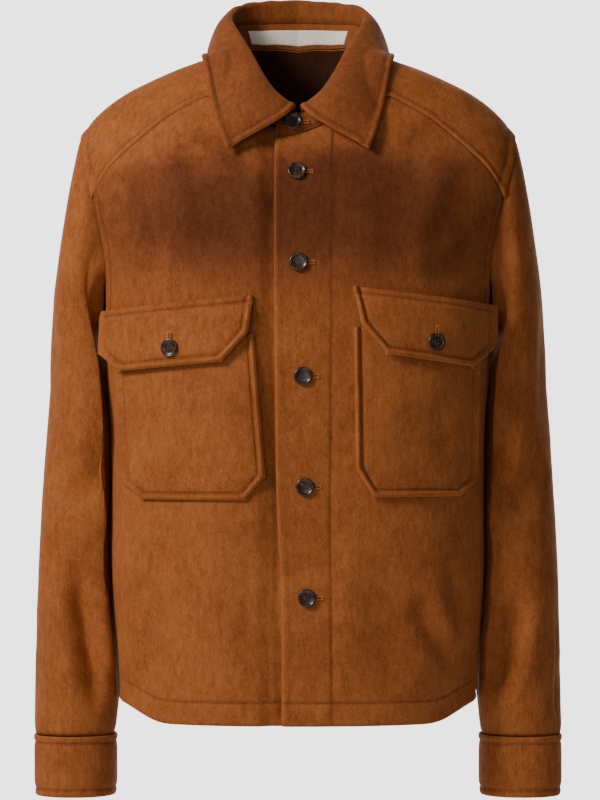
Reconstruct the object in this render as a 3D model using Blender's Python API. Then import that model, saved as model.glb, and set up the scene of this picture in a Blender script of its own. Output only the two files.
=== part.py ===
"""A worn wool overshirt jacket, hollow, as it hangs on a general figure.

Metres, +Z up. +X is the wearer's left, -Y the front. The origin is the middle of the
neck base, level with the points where the shoulder ridges meet the neckline.

Every cloth piece is a wall of one thickness. The fronts, back and yoke are cut from one
torso form, the sleeves from a tube that starts at the torso's armholes, and what is sewn
on a panel (pockets, flaps, buttons) is made from the panel's own points, moved out.
"""
import math

import bmesh
import bpy
import numpy as np
from mathutils import Vector

# ---------------------------------------------------------------- driving sizes
WALL = 0.0022            # coat-weight wool, one layer
POCKET_WALL = 0.0024     # patch pocket, hem turned in
FLAP_WALL = 0.0026       # flap, two layers pressed
COLLAR_WALL = 0.0030     # collar fall, two layers and interlining
STAND_WALL = 0.0026
LABEL_WALL = 0.0010
SEAM = 0.0003            # clearance between two pieces that are sewn together
PATCH_GAP = 0.0009       # clearance between a panel and what lies on it
STAND_GAP = 0.0010       # clearance between the neckline and the collar stand
TUCK_GAP = 0.0008        # clearance between the stand's tab and the end tucked behind it
ARM_GAP = 0.0028         # clearance between a hanging sleeve and the side of the torso
ARM_GAP_FRONT = 0.0095   # the same in front of the side seam, where the flaps reach it

MID_Y = -0.006           # depth of the side seams and the shoulder ridge
FORM_BASE = -0.26        # height from which the torso form starts to close over the shoulders
UNDERARM = -0.275        # height of the underarm point
BICEP_Z = -0.335         # the sleeve is a level ring from here down
SHOULDER_X = 0.2185      # half of the shoulder width
SHOULDER_Z = -0.0815     # height of the shoulder points
HEM_FRONT = -0.6660
HEM_SIDE = -0.6490
HEM_BACK = -0.6680
HEM_TURN_X = 0.120       # the hem starts to rise to the side seam from here
YOKE_CORNER_Z = -0.149   # front yoke seam where it meets the armhole
BACK_SEAM_Z = -0.118     # back yoke seam at the centre
BACK_CORNER_Z = -0.128   # back yoke seam where it meets the armhole
YOKE_START = 2.5         # neckline station at which the front yoke seam starts

PER_DEGREE = 0.0008      # cloth round a sleeve for each degree of turn
BACK_SEAM_X = 0.2075     # reach of the back yoke seam
ROLL_LEG = 0.0050        # from the top of the collar's roll down to the straight part inside it
UNDERLAP_EDGE = 0.018    # how far the under front reaches past the centre
UNDERLAP_STEP = WALL + 0.0015
CUFF_TOP = -0.6840
CUFF_BOTTOM = -0.7455
CUFF_LAP = math.radians(34)
CUFF_START = math.radians(-26)
BUTTON_RADIUS = 0.0090
BUTTON_THICKNESS = 0.0032

FRONT, BACK = -1, 1
LEFT, RIGHT = 1, -1
SHARPNESS = {FRONT: (2.4, 2.2), BACK: (2.05, 3.0)}   # roundness across, roundness over the shoulder


class Table:
    """Rows of sizes with named columns, read smoothly along the first column."""

    def __init__(self, columns, *rows):
        names = columns.split()
        data = np.array(sorted(rows), dtype=float)
        self.at = data[:, 0]
        self.columns = {name: data[:, i + 1] for i, name in enumerate(names[1:])}
        self.slopes = {name: self._slopes(values) for name, values in self.columns.items()}

    def _slopes(self, values):
        """Slopes that keep the curve between its rows, without overshoot."""
        step = np.diff(self.at)
        rise = np.diff(values) / step
        slopes = np.zeros(len(values))
        slopes[0], slopes[-1] = rise[0], rise[-1]
        for i in range(1, len(values) - 1):
            before, after = rise[i - 1], rise[i]
            if before * after > 0:
                slopes[i] = 2 * before * after / (before + after)
        return slopes

    def read(self, name, at):
        """The column's value at one place or an array of places."""
        at = np.clip(at, self.at[0], self.at[-1])
        i = np.clip(np.searchsorted(self.at, at, side="right") - 1, 0, len(self.at) - 2)
        step = self.at[i + 1] - self.at[i]
        t = (at - self.at[i]) / step
        values, slopes = self.columns[name], self.slopes[name]
        return ((1 + 2 * t) * (1 - t) ** 2 * values[i] + t * (1 - t) ** 2 * step * slopes[i]
                + t * t * (3 - 2 * t) * values[i + 1] - t * t * (1 - t) * step * slopes[i + 1])


# ---------------------------------------------------------------- size tables
TORSO = Table("height width front back",
              (-0.70, 0.1760, 0.104, 0.085), (-0.65, 0.1785, 0.107, 0.084),
              (-0.60, 0.1815, 0.109, 0.083), (-0.55, 0.1860, 0.109, 0.082),
              (-0.50, 0.1875, 0.109, 0.082), (-0.44, 0.1870, 0.109, 0.083),
              (-0.38, 0.1880, 0.110, 0.085), (-0.33, 0.1915, 0.110, 0.088),
              (-0.275, 0.1945, 0.109, 0.092), (-0.25, 0.1965, 0.108, 0.094),
              (-0.20, 0.2065, 0.106, 0.098), (-0.15, 0.2320, 0.100, 0.101),
              (-0.10, 0.2500, 0.093, 0.103), (-0.04, 0.2630, 0.089, 0.104),
              (0.08, 0.2750, 0.086, 0.105))

RIDGE = Table("across front back",
              (0.0, -0.0200, 0.0500), (0.020, -0.0190, 0.0470), (0.040, -0.0150, 0.0370),
              (0.060, -0.0050, 0.0150), (0.072, 0.0010, 0.0010), (0.0815, -0.0010, -0.0010),
              (0.095, -0.0060, -0.0060), (0.120, -0.0150, -0.0150), (0.150, -0.0285, -0.0285),
              (0.175, -0.0415, -0.0415), (0.195, -0.0560, -0.0560), (0.210, -0.0710, -0.0710),
              (0.2185, -0.0815, -0.0815), (0.235, -0.1080, -0.1080), (0.270, -0.1800, -0.1800))

ARMHOLE = Table("height front back",
                (UNDERARM, 0.1945, 0.1945), (-0.250, 0.1932, 0.1925), (-0.218, 0.1928, 0.1918),
                (-0.190, 0.1965, 0.1935), (-0.163, 0.2020, 0.1980), (-0.143, 0.2065, 0.2025),
                (-0.119, 0.2130, 0.2095), (-0.098, 0.2175, 0.2155), (SHOULDER_Z, 0.2185, 0.2185))

NECKLINE = Table("station across turn",      # turn: degrees over the shoulder ridge, front is minus
                 (-1.0, -0.0276, -47.6), (0.0, 0.0000, -45.5), (1.0, 0.0260, -42.0),
                 (2.0, 0.0450, -37.0), (3.0, 0.0605, -28.0), (4.0, 0.0720, 0.0),
                 (5.0, 0.0690, 7.5), (6.0, 0.0555, 19.5), (7.0, 0.0320, 31.0), (8.0, 0.0, 35.0))

FRONT_SEAM = Table("across height",
                   (0.0532, -0.0467), (0.0885, -0.0475), (0.110, -0.0570), (0.130, -0.0685),
                   (0.147, -0.0820), (0.166, -0.0980), (0.1865, -0.1175), (0.197, -0.1320),
                   (float(ARMHOLE.read("front", YOKE_CORNER_Z)), YOKE_CORNER_Z))

# neckline stations of one half that the yoke, stand and fall share, front centre to back centre
STATIONS = np.array([0, 0.6, 1.2, 1.85, 2.5, 2.9, 3.3, 3.65, 4.0, 4.3, 4.7, 5.2, 5.8, 6.4, 6.95, 7.5, 8.0])

# rows of each panel between the shoulder point and the underarm
ARM_ROWS = {FRONT: dict(yoke=5, panel=7), BACK: dict(yoke=4, panel=8)}

FREE_EDGE = Table("height across",           # the top front's edge, past the centre on the wearer's right
                  (-0.68, -0.0155), (-0.54, -0.0160), (-0.49, -0.0190), (-0.43, -0.0215),
                  (-0.21, -0.0233), (-0.08, -0.0225))

COLLAR = Table("station roll_x roll_y roll_z rise edge_x edge_y edge_z",
               (0, 0.0030, -0.0700, -0.0580, 0.0010, 0.0695, -0.0920, -0.1030),
               (1, 0.0225, -0.0640, -0.0420, 0.0010, 0.0770, -0.0850, -0.0840),
               (2, 0.0370, -0.0520, -0.0215, 0.0015, 0.0840, -0.0700, -0.0620),
               (3, 0.0500, -0.0310, 0.0020, 0.0020, 0.0915, -0.0470, -0.0350),
               (4, 0.0630, -0.0060, 0.0240, 0.0040, 0.0975, -0.0120, -0.0080),
               (5, 0.0710, 0.0200, 0.0410, 0.0090, 0.0975, 0.0300, 0.0000),
               (6, 0.0640, 0.0460, 0.0555, 0.0150, 0.0850, 0.0640, 0.0020),
               (7, 0.0400, 0.0645, 0.0630, 0.0190, 0.0500, 0.0860, 0.0040),
               (8, 0.0000, 0.0715, 0.0660, 0.0200, 0.0000, 0.0945, 0.0040))

SLEEVE = Table("height outer inner front back",
               (BICEP_Z, 0.2520, 0.1620, -0.040, 0.080), (-0.380, 0.2555, 0.1570, -0.039, 0.078),
               (-0.430, 0.2590, 0.1560, -0.039, 0.072), (-0.490, 0.2620, 0.1600, -0.039, 0.064),
               (-0.550, 0.2640, 0.1680, -0.039, 0.055), (-0.620, 0.2655, 0.1770, -0.039, 0.045),
               (CUFF_TOP, 0.2660, 0.1835, -0.039, 0.036))

FOLDS = [   # soft ridges (+) and troughs (-) on the fronts: ends, half width and height
    dict(start=(-0.132, -0.095), end=(-0.098, -0.205), width=0.017, height=0.0030),
    dict(start=(-0.160, -0.120), end=(-0.128, -0.215), width=0.013, height=-0.0025),
    dict(start=(0.150, -0.100), end=(0.105, -0.215), width=0.017, height=0.0025),
    dict(start=(0.108, -0.540), end=(0.158, -0.612), width=0.012, height=-0.0030),
    dict(start=(0.151, -0.500), end=(0.160, -0.602), width=0.010, height=-0.0030),
    dict(start=(-0.150, -0.470), end=(-0.120, -0.600), width=0.020, height=-0.0020),
]

SLEEVE_FOLDS = [   # on the sleeves: turn from the outer side to the front in degrees, heights
    dict(side=RIGHT, start=(85, -0.505), end=(125, -0.660), width=0.012, height=-0.0050),
    dict(side=LEFT, start=(85, -0.535), end=(130, -0.645), width=0.012, height=-0.0050),
    dict(side=RIGHT, start=(40, -0.400), end=(100, -0.450), width=0.016, height=-0.0030),
    dict(side=LEFT, start=(30, -0.410), end=(95, -0.455), width=0.016, height=-0.0030),
]

POCKETS = {   # edges across and up; the lower corners are cut off by the chamfer
    RIGHT: dict(top=-0.285, inner_top=-0.0425, inner_low=-0.0315, outer_top=-0.1800, outer_low=-0.1710,
                low_inner_z=-0.4230, low_outer_z=-0.4310, bottom=-0.4460, chamfer=0.0200),
    LEFT: dict(top=-0.278, inner_top=0.0540, inner_low=0.0560, outer_top=0.1790, outer_low=0.1745,
               low_inner_z=-0.4150, low_outer_z=-0.4280, bottom=-0.4430, chamfer=0.0170),
}

FLAPS = {   # inner and outer ends of the top seam, depth of the sides, and of the lower edge
    RIGHT: dict(inner=(-0.0430, -0.2470), outer=(-0.1885, -0.2600), inner_side=(-0.0475, -0.2830),
                inner_low=(-0.0730, -0.3115), outer_low=(-0.1690, -0.3200), outer_side=(-0.1860, -0.3020)),
    LEFT: dict(inner=(0.0530, -0.2380), outer=(0.1900, -0.2540), inner_side=(0.0600, -0.2740),
               inner_low=(0.0850, -0.3040), outer_low=(0.1670, -0.3160), outer_side=(0.1870, -0.2960)),
}

BUTTONS = [   # on the front's centre line, and on the flaps
    dict(name="button_front_1", across=-0.0010, height=-0.1245),
    dict(name="button_front_2", across=0.0005, height=-0.2145),
    dict(name="button_front_3", across=0.0050, height=-0.3252),
    dict(name="button_front_4", across=0.0068, height=-0.4329),
    dict(name="button_front_5", across=0.0087, height=-0.5406),
    dict(name="button_flap_right", across=-0.1215, height=-0.2978),
    dict(name="button_flap_left", across=0.1310, height=-0.2920),
]
TAB_REACH = 0.0276        # how far the stand's tab passes the front centre for one station
STAND_BUTTON = dict(station=-0.25, up=0.0125)


# ---------------------------------------------------------------- torso form
def side_name(side):
    return "front" if side == FRONT else "back"


def depth(side, across, height):
    """Distance of the torso's surface from the plane of the side seams: flat ovals, closed over the ridge."""
    round_x, round_z = SHARPNESS[side]
    ridge = RIDGE.read(side_name(side), np.abs(across))
    spread = 1 - (np.abs(across) / TORSO.read("width", height)) ** round_x
    climb = 1 - np.clip((height - FORM_BASE) / (ridge - FORM_BASE), 0, 2) ** round_z
    full = TORSO.read(side_name(side), height)
    return full * np.sign(spread) * np.abs(spread) ** (1 / round_x) * np.maximum(climb, 0) ** (1 / round_z)


def torso_level(point):
    """Above zero outside the torso form, below zero inside."""
    x, y, z = point[..., 0], point[..., 1], point[..., 2]
    away = y - MID_Y
    reach = np.where(away < 0, depth(FRONT, x, z), depth(BACK, x, z))
    return away ** 2 - np.sign(reach) * reach ** 2


def torso_normal(point):
    """Outward direction of the torso form, the same for every piece that meets there."""
    small = 0.0006
    gradient = np.stack([torso_level(point + small * axis) - torso_level(point - small * axis)
                         for axis in np.eye(3)], axis=-1)
    return unit(gradient)


def unit(vectors):
    return vectors / np.maximum(np.linalg.norm(vectors, axis=-1, keepdims=True), 1e-12)


def torso_point(side, across, height):
    """The point of the torso form at a distance across and a height."""
    across, height = np.broadcast_arrays(np.asarray(across, float), np.asarray(height, float))
    return np.stack([across, MID_Y + side * depth(side, across, height), height], axis=-1)


def ridge_point(across, turn):
    """The point of the torso form at an angle over the shoulder ridge, front below zero."""
    angle = np.radians(turn)
    front = _turned(FRONT, across, angle)
    back = _turned(BACK, across, angle)
    return np.where((angle < 0)[..., None], front, back)


def _turned(side, across, angle):
    """One side's points at angles over the ridge."""
    round_x, round_z = SHARPNESS[side]
    ridge = RIDGE.read(side_name(side), np.abs(across))
    height = FORM_BASE + (ridge - FORM_BASE) * np.cos(angle) ** (2 / round_z)
    spread = np.maximum(1 - (np.abs(across) / TORSO.read("width", height)) ** round_x, 0)
    reach = TORSO.read(side_name(side), height) * spread ** (1 / round_x) * np.abs(np.sin(angle)) ** (2 / round_z)
    return np.stack([across, MID_Y + side * reach, height], axis=-1)


def turn_of(side, across, height):
    """The angle over the shoulder ridge of a point of one side, in degrees."""
    round_z = SHARPNESS[side][1]
    ridge = RIDGE.read(side_name(side), np.abs(across))
    climb = np.clip((height - FORM_BASE) / (ridge - FORM_BASE), 0, 1)
    return side * np.degrees(np.arccos(climb ** (round_z / 2)))


def fold_height(folds, across, height):
    """Sum of the soft ridges and troughs at a place, each fading at its ends."""
    total = np.zeros(np.broadcast(across, height).shape)
    for fold in folds:
        (x0, z0), (x1, z1) = fold["start"], fold["end"]
        length = math.hypot(x1 - x0, z1 - z0)
        along = ((across - x0) * (x1 - x0) + (height - z0) * (z1 - z0)) / length ** 2
        off = ((across - x0) * (z1 - z0) - (height - z0) * (x1 - x0)) / length
        fade = np.clip(1.2 - np.abs(along - 0.5) * 2, 0, 1) ** 0.7
        total = total + fold["height"] * fade * np.exp(-(off / fold["width"]) ** 2)
    return total


def torso_wall(points, thickness, lift=0.0, folds=None):
    """Outer and inner skin of a wall that lies on the torso form."""
    normal = torso_normal(points)
    rise = lift if folds is None else lift + folds
    rise = np.broadcast_to(rise, points.shape[:-1])[..., None]
    outer = points + normal * rise
    return outer, outer - normal * thickness


# ---------------------------------------------------------------- mesh helpers
def material(name, colour, roughness):
    """A plain finish."""
    made = bpy.data.materials.new(name)
    made.use_nodes = True
    shader = made.node_tree.nodes["Principled BSDF"]
    shader.inputs["Base Color"].default_value = (*colour, 1.0)
    shader.inputs["Roughness"].default_value = roughness
    shader.inputs["Metallic"].default_value = 0.0
    return made


def add_skin(mesh, points, closed, flip):
    """A grid of points as one skin of a wall; returns its rows of vertices."""
    rows = [[mesh.verts.new(point) for point in (row[:-1] if closed else row)] for row in points]
    for low, high in zip(rows, rows[1:]):
        count = len(low)
        for i in range(count if closed else count - 1):
            j = (i + 1) % count
            corners = (low[i], low[j], high[j], high[i])
            mesh.faces.new(corners[::-1] if flip else corners)
    return rows


def cloth(name, outer, inner, finish, closed=False):
    """One closed wall between an outer and an inner skin, as a named object."""
    mesh = bmesh.new()
    outside = add_skin(mesh, outer, closed, flip=False)
    inside = add_skin(mesh, inner, closed, flip=True)
    loops = []
    if closed:
        loops = [(outside[0], inside[0]), (outside[-1][::-1], inside[-1][::-1])]
    else:
        def rim(rows):
            return (rows[0] + [row[-1] for row in rows[1:-1]] + rows[-1][::-1]
                    + [row[0] for row in rows[-2:0:-1]])
        loops = [(rim(outside), rim(inside))]
    for top, under in loops:
        for i in range(len(top)):
            j = (i + 1) % len(top)
            mesh.faces.new((top[j], top[i], under[i], under[j]))
    bmesh.ops.recalc_face_normals(mesh, faces=mesh.faces)
    return finished(name, mesh, finish)


def finished(name, mesh, finish):
    """A bmesh as a named object with its finish."""
    data = bpy.data.meshes.new(name)
    mesh.to_mesh(data)
    mesh.free()
    data.shade_smooth()
    data.set_sharp_from_angle(angle=math.radians(40))
    data.materials.append(finish)
    thing = bpy.data.objects.new(name, data)
    bpy.context.scene.collection.objects.link(thing)
    return thing


def smoothstep(value):
    value = np.clip(value, 0, 1)
    return value * value * (3 - 2 * value)


def eased(count, power=1.0):
    """Fractions from 0 to 1 that crowd towards 1, where the form turns away."""
    return np.sin(np.linspace(0, 1, count) * math.pi / 2) ** power


# ---------------------------------------------------------------- lines shared by the pieces
def neckline(station):
    """Points of the neckline; stations run from the front centre (0) to the back centre (8)."""
    station = np.asarray(station, float)
    return ridge_point(NECKLINE.read("across", station), NECKLINE.read("turn", station))


def neck_height(across):
    """Height of the front neckline at a distance across."""
    stations = np.linspace(-1, YOKE_START, 60)
    return np.interp(across, NECKLINE.read("across", stations), neckline(stations)[:, 2])


def hem_height(side, across):
    """Height of the hem, which rises to the side seams."""
    low = HEM_FRONT if side == FRONT else HEM_BACK
    edge = TORSO.read("width", HEM_SIDE)
    return low + (HEM_SIDE - low) * smoothstep((np.abs(across) - HEM_TURN_X) / (edge - HEM_TURN_X)) ** 1.5


def side_reach(side, height):
    """Distance across of the side seam, or of the armhole above the underarm."""
    return np.where(height > UNDERARM, ARMHOLE.read(side_name(side), height), TORSO.read("width", height))


def yoke_corner(side):
    return YOKE_CORNER_Z if side == FRONT else BACK_CORNER_Z


def side_heights(side, below=11):
    """Heights of a panel's side rows, from the hem past the underarm to the yoke's corner."""
    climb = np.linspace(0, 1, ARM_ROWS[side]["panel"] + 1)[1:] ** 1.25
    return np.concatenate([np.linspace(HEM_SIDE, UNDERARM, below), UNDERARM + (yoke_corner(side) - UNDERARM) * climb])


def shoulder_heights(side):
    """Heights of the yoke's armhole rows, from its corner up to the shoulder point."""
    climb = np.sin(np.linspace(0, math.pi / 2, ARM_ROWS[side]["yoke"] + 1))
    return yoke_corner(side) + (SHOULDER_Z - yoke_corner(side)) * climb


def armhole_curve():
    """The armhole from the shoulder point down the front, and up the back, as points."""
    halves = []
    for side in (FRONT, BACK):
        panel = side_heights(side)
        heights = np.concatenate([panel[panel > UNDERARM], shoulder_heights(side)[1:]])[::-1]
        line = torso_point(side, side_reach(side, heights), heights)
        line[0] = (SHOULDER_X, MID_Y, SHOULDER_Z)
        halves.append(np.concatenate([line, [[float(TORSO.read("width", UNDERARM)), MID_Y, UNDERARM]]]))
    return np.concatenate([halves[0][:-1], halves[1][::-1]])


# ---------------------------------------------------------------- torso panels
def front_panel(wearer):
    """Half front; rows run from the hem to the neckline and yoke seam, columns to the side."""
    heights = side_heights(FRONT)
    rows = (heights - HEM_SIDE) / (YOKE_CORNER_Z - HEM_SIDE)
    necks = neckline(STATIONS[STATIONS <= YOKE_START])[:, 0]
    neck_end = necks[-1]
    start = float(FREE_EDGE.read("across", -0.09)) if wearer == LEFT else -UNDERLAP_EDGE
    corner = float(FRONT_SEAM.at[-1])
    tops = np.concatenate([[start], necks, neck_end + (corner - neck_end) * eased(9)[1:]])
    top_heights = np.where(tops <= neck_end, neck_height(tops), FRONT_SEAM.read("height", tops)) - SEAM
    shares = (tops - start) / (corner - start)
    reach = side_reach(FRONT, heights)[:, None]
    edge = FREE_EDGE.read("across", heights)[:, None] if wearer == LEFT else np.full_like(reach, start)
    across = edge + shares[None, :] * (reach - edge)
    hems = hem_height(FRONT, across[0])
    height = hems + (top_heights - hems) * rows[:, None]
    height[:, -1] = heights
    points = torso_point(FRONT, wearer * across, height)
    points[heights <= UNDERARM, -1, 1] = MID_Y - SEAM / 2
    lift = np.zeros(across.shape)
    if wearer == RIGHT:
        lift = -UNDERLAP_STEP * smoothstep((0.042 + wearer * points[..., 0] * -1) / 0.016)
    return points, lift


def back_panel():
    """The back's points; rows run from the hem to the yoke seam, columns from side to side."""
    heights = side_heights(BACK)
    rows = (heights - HEM_SIDE) / (BACK_CORNER_Z - HEM_SIDE)
    half = eased(9)
    shares = np.concatenate([-half[::-1], half[1:]])
    reach = side_reach(BACK, heights)[:, None]
    across = shares[None, :] * reach
    hems = hem_height(BACK, across[0])
    tops = back_seam(across[-1]) - SEAM
    height = hems + (tops - hems) * rows[:, None]
    height[:, 0] = height[:, -1] = heights
    points = torso_point(BACK, across, height)
    below = heights <= UNDERARM
    points[below, 0, 1] = points[below, -1, 1] = MID_Y + SEAM / 2
    return points


def back_seam(across):
    """Height of the back yoke seam."""
    return BACK_SEAM_Z + (BACK_CORNER_Z - BACK_SEAM_Z) * (np.abs(across) / BACK_SEAM_X) ** 2


def yoke_half():
    """The yoke from its front seam (row 0) to the back centre; columns run out from the neck."""
    columns = eased(9)
    stations = STATIONS[STATIONS >= YOKE_START]
    neck_end, corner = float(neckline(YOKE_START)[0]), float(FRONT_SEAM.at[-1])
    seam_x = neck_end + (corner - neck_end) * columns
    seam_turn = turn_of(FRONT, seam_x, FRONT_SEAM.read("height", seam_x) + SEAM)
    front, back = shoulder_heights(FRONT), shoulder_heights(BACK)[-2::-1]
    front[0] += SEAM
    back[-1] += SEAM
    back_x = np.array([0.138, 0.070, 0.0])
    outer_x = np.concatenate([side_reach(FRONT, front), side_reach(BACK, back), back_x])
    outer_turn = np.concatenate([turn_of(FRONT, side_reach(FRONT, front), front),
                                 turn_of(BACK, side_reach(BACK, back), back),
                                 turn_of(BACK, back_x, back_seam(back_x) + SEAM)])
    outer_turn[len(front) - 1] = 0.0
    inner_x, inner_turn = NECKLINE.read("across", stations), NECKLINE.read("turn", stations)
    across = inner_x[:, None] + (outer_x - inner_x)[:, None] * columns
    turn = inner_turn[:, None] + (outer_turn - inner_turn)[:, None] * columns
    across[0], turn[0] = seam_x, seam_turn
    return across, turn


def build_torso(wool):
    """The fronts, back and yoke."""
    for wearer, name in ((LEFT, "front_left"), (RIGHT, "front_right")):
        points, lift = front_panel(wearer)
        folds = fold_height(FOLDS, points[..., 0], points[..., 2])
        outer, inner = torso_wall(points, WALL, lift, folds)
        cloth(name, outer, inner, wool)
    outer, inner = torso_wall(back_panel(), WALL)
    cloth("back", outer, inner, wool)
    across, turn = yoke_half()
    across = np.concatenate([across, -across[-2::-1]])
    turn = np.concatenate([turn, turn[-2::-1]])
    outer, inner = torso_wall(ridge_point(across, turn), WALL)
    cloth("yoke", outer, inner, wool)


# ---------------------------------------------------------------- sleeves
def sleeve_ring(height, count, table=SLEEVE):
    """One ring of the sleeve tube, from its outer side round the front."""
    turn = np.linspace(0, 2 * math.pi, count + 1)
    outer, inner, front, back = (table.read(name, height) for name in ("outer", "inner", "front", "back"))
    cosine, sine = np.cos(turn), np.sin(turn)
    x = (outer + inner) / 2 + (outer - inner) / 2 * np.sign(cosine) * np.abs(cosine) ** 0.92
    y = (front + back) / 2 + (front - back) / 2 * np.sign(sine) * np.abs(sine) ** 0.92
    return np.stack([x, y, np.full(count + 1, float(height))], axis=-1)


def clear_of_torso(points, gap):
    """Points moved sideways until they are a gap away from the torso's side."""
    moved = points.copy()
    x, y, z = points[..., 0], points[..., 1], points[..., 2]
    share_of_front = (ARM_GAP_FRONT - ARM_GAP) * gap / ARM_GAP
    spare = gap + share_of_front * smoothstep((MID_Y - y) / 0.030)
    for which in (FRONT, BACK):
        here = (y < MID_Y) if which == FRONT else (y >= MID_Y)
        full = TORSO.read(side_name(which), z)
        power = SHARPNESS[which][0]
        share = np.clip(1 - (np.abs(y - MID_Y) / (full + spare)) ** power, 0, 1) ** (1 / power)
        limit = np.minimum((TORSO.read("width", z) + spare) * share, side_reach(which, z) + spare)
        moved[..., 0] = np.where(here & (x < limit) & (z > HEM_BACK), limit, moved[..., 0])
    return moved


def armhole_outward(armhole, normal):
    """At each armhole point, the direction in the cloth that leads away from the torso panels."""
    tangent = unit(np.roll(armhole[:-1], -1, axis=0) - np.roll(armhole[:-1], 1, axis=0))
    tangent = np.concatenate([tangent, tangent[:1]])
    outward = unit(np.cross(tangent, normal))
    low = smoothstep((SHOULDER_Z - armhole[:, 2]) / (SHOULDER_Z - UNDERARM) * 2 - 1)
    away = outward[:, 0] * (1 - low) + outward[:, 2] * low
    return outward * np.where(away < 0, -1, 1)[:, None]


def sleeve_points():
    """The sleeve on the wearer's left, from the armhole ring to the cuff."""
    armhole = armhole_curve()
    count = len(armhole) - 1
    start = armhole + armhole_outward(armhole, torso_normal(armhole)) * SEAM
    turn = np.linspace(0, 2 * math.pi, count + 1)
    bicep = clear_of_torso(sleeve_ring(BICEP_Z, count), ARM_GAP)
    under = (1 - np.cos(turn)) / 2
    heading = unit(np.stack([0.21 + 0.55 * under, np.zeros_like(turn), -0.97 + 0.40 * under], axis=-1))
    reach = np.linalg.norm(bicep - start, axis=1, keepdims=True)
    rings = [start]
    for t in (0.12, 0.30, 0.50, 0.75, 1.0):
        first = start + heading * reach * 0.36
        last = bicep + np.array([0, 0, 1]) * reach * 0.34
        ring = ((1 - t) ** 3 * start + 3 * (1 - t) ** 2 * t * first + 3 * (1 - t) * t * t * last + t ** 3 * bicep)
        rings.append(clear_of_torso(ring, ARM_GAP * min(1.0, 2.5 * t)))
    for height in np.linspace(BICEP_Z, CUFF_TOP + SEAM, 12)[1:]:
        rings.append(clear_of_torso(sleeve_ring(height, count), ARM_GAP))
    return np.stack(rings)


def build_sleeves(wool):
    """Both sleeves from one set of points, each with its own folds."""
    points = sleeve_points()
    count = points.shape[1] - 1
    turns = np.degrees(np.linspace(0, 2 * math.pi, count + 1))[None, :]
    under = (1 - np.cos(np.radians(turns[0]))) / 2
    root = torso_normal(armhole_curve())
    for wearer, name in ((LEFT, "sleeve_left"), (RIGHT, "sleeve_right")):
        normal = tube_normal(points)
        normal[0] = unit(root + (normal[0] - root) * smoothstep((under - 0.75) / 0.2)[:, None])
        folds = [dict(fold, start=(fold["start"][0] * PER_DEGREE, fold["start"][1]),
                      end=(fold["end"][0] * PER_DEGREE, fold["end"][1]))
                 for fold in SLEEVE_FOLDS if fold["side"] == wearer]
        rise = fold_height(folds, turns * PER_DEGREE, points[..., 2])[..., None]
        outer = points + normal * rise
        inner = outer - normal * WALL
        flip = np.array([wearer, 1, 1])
        cloth(name, outer * flip, inner * flip, wool, closed=True)


def tube_normal(points):
    """Outward directions of a tube's grid of points."""
    around = np.empty_like(points)
    around[:, 1:-1] = points[:, 2:] - points[:, :-2]
    around[:, 0] = around[:, -1] = points[:, 1] - points[:, -2]
    along = np.gradient(points, axis=0)
    return unit(np.cross(around, along))


def cuff_points(lift, heights):
    """A cuff as a band that laps over itself on the sleeve's outer side."""
    count = 30
    sweep = np.linspace(0, 2 * math.pi + CUFF_LAP, count + 1)
    turn = CUFF_START - CUFF_LAP + sweep
    under = 1 - smoothstep(sweep / (2 * CUFF_LAP) - 0.45)
    rows = []
    for height in heights:
        outer, inner, front, back = (SLEEVE.read(name, CUFF_TOP) for name in ("outer", "inner", "front", "back"))
        narrow = 0.0015 * smoothstep((CUFF_BOTTOM + 0.010 - height) / 0.010)
        inset = (WALL + 2 * SEAM) * under + narrow - lift
        cosine, sine = np.cos(turn), np.sin(turn)
        half_x, half_y = (outer - inner) / 2 + 0.0012 - inset, (back - front) / 2 + 0.0012 - inset
        x = (outer + inner) / 2 + half_x * np.sign(cosine) * np.abs(cosine) ** 0.92
        y = (front + back) / 2 - half_y * np.sign(sine) * np.abs(sine) ** 0.92
        rows.append(np.stack([x, y, np.full_like(x, height)], axis=-1))
    return np.stack(rows)


def build_cuffs(wool):
    """Each cuff is a band that laps over itself and buttons on its outer side."""
    heights = [CUFF_TOP - SEAM, -0.705, -0.725, -0.740, CUFF_BOTTOM]
    outer, inner = cuff_points(0.0, heights), cuff_points(-WALL, heights)
    for wearer, name in ((LEFT, "cuff_left"), (RIGHT, "cuff_right")):
        flip = np.array([wearer, 1, 1])
        cloth(name, outer * flip, inner * flip, wool)


# ---------------------------------------------------------------- collar
def outward_in_plan(points):
    """Level directions away from the neck's centre."""
    flat = points - np.array([0, -0.004, 0])
    flat[..., 2] = 0
    return unit(flat)


def roll_radius(stations):
    """Half width of the collar's turned roll: it opens from the front to the side."""
    return 0.0040 + 0.0015 * smoothstep(np.asarray(stations) / 3)


def stand_rows(stations, sign, step):
    """Foot and top of the collar stand at neckline stations of one half."""
    foot = neckline(stations if sign == LEFT else np.abs(stations)) * np.array([sign, 1, 1])
    foot[:, 0] *= np.where((stations < 0) & (sign == RIGHT), -1, 1)
    roll = np.stack([COLLAR.read(name, np.maximum(stations, 0)) for name in ("roll_x", "roll_y", "roll_z")], axis=-1)
    past = np.minimum(stations, 0)
    roll[:, 0] += TAB_REACH * past
    roll[:, 2] += -0.0040 * past * past        # the tab's top slopes down to its end
    roll = roll * np.array([sign, 1, 1])
    out = outward_in_plan(foot)
    top = roll - out * (roll_radius(np.maximum(stations, 0)) - COLLAR_WALL / 2)[:, None]
    steep = smoothstep(stations / 0.6) * smoothstep((4.0 - stations) / 1.5)    # where the roll climbs fast
    top[:, 2] -= COLLAR.read("rise", np.maximum(stations, 0)) + ROLL_LEG + 2 * SEAM + 0.0014 * steep
    foot = foot + np.array([0, 0, STAND_GAP]) - out * step[:, None]
    return foot, top - out * step[:, None]


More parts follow.
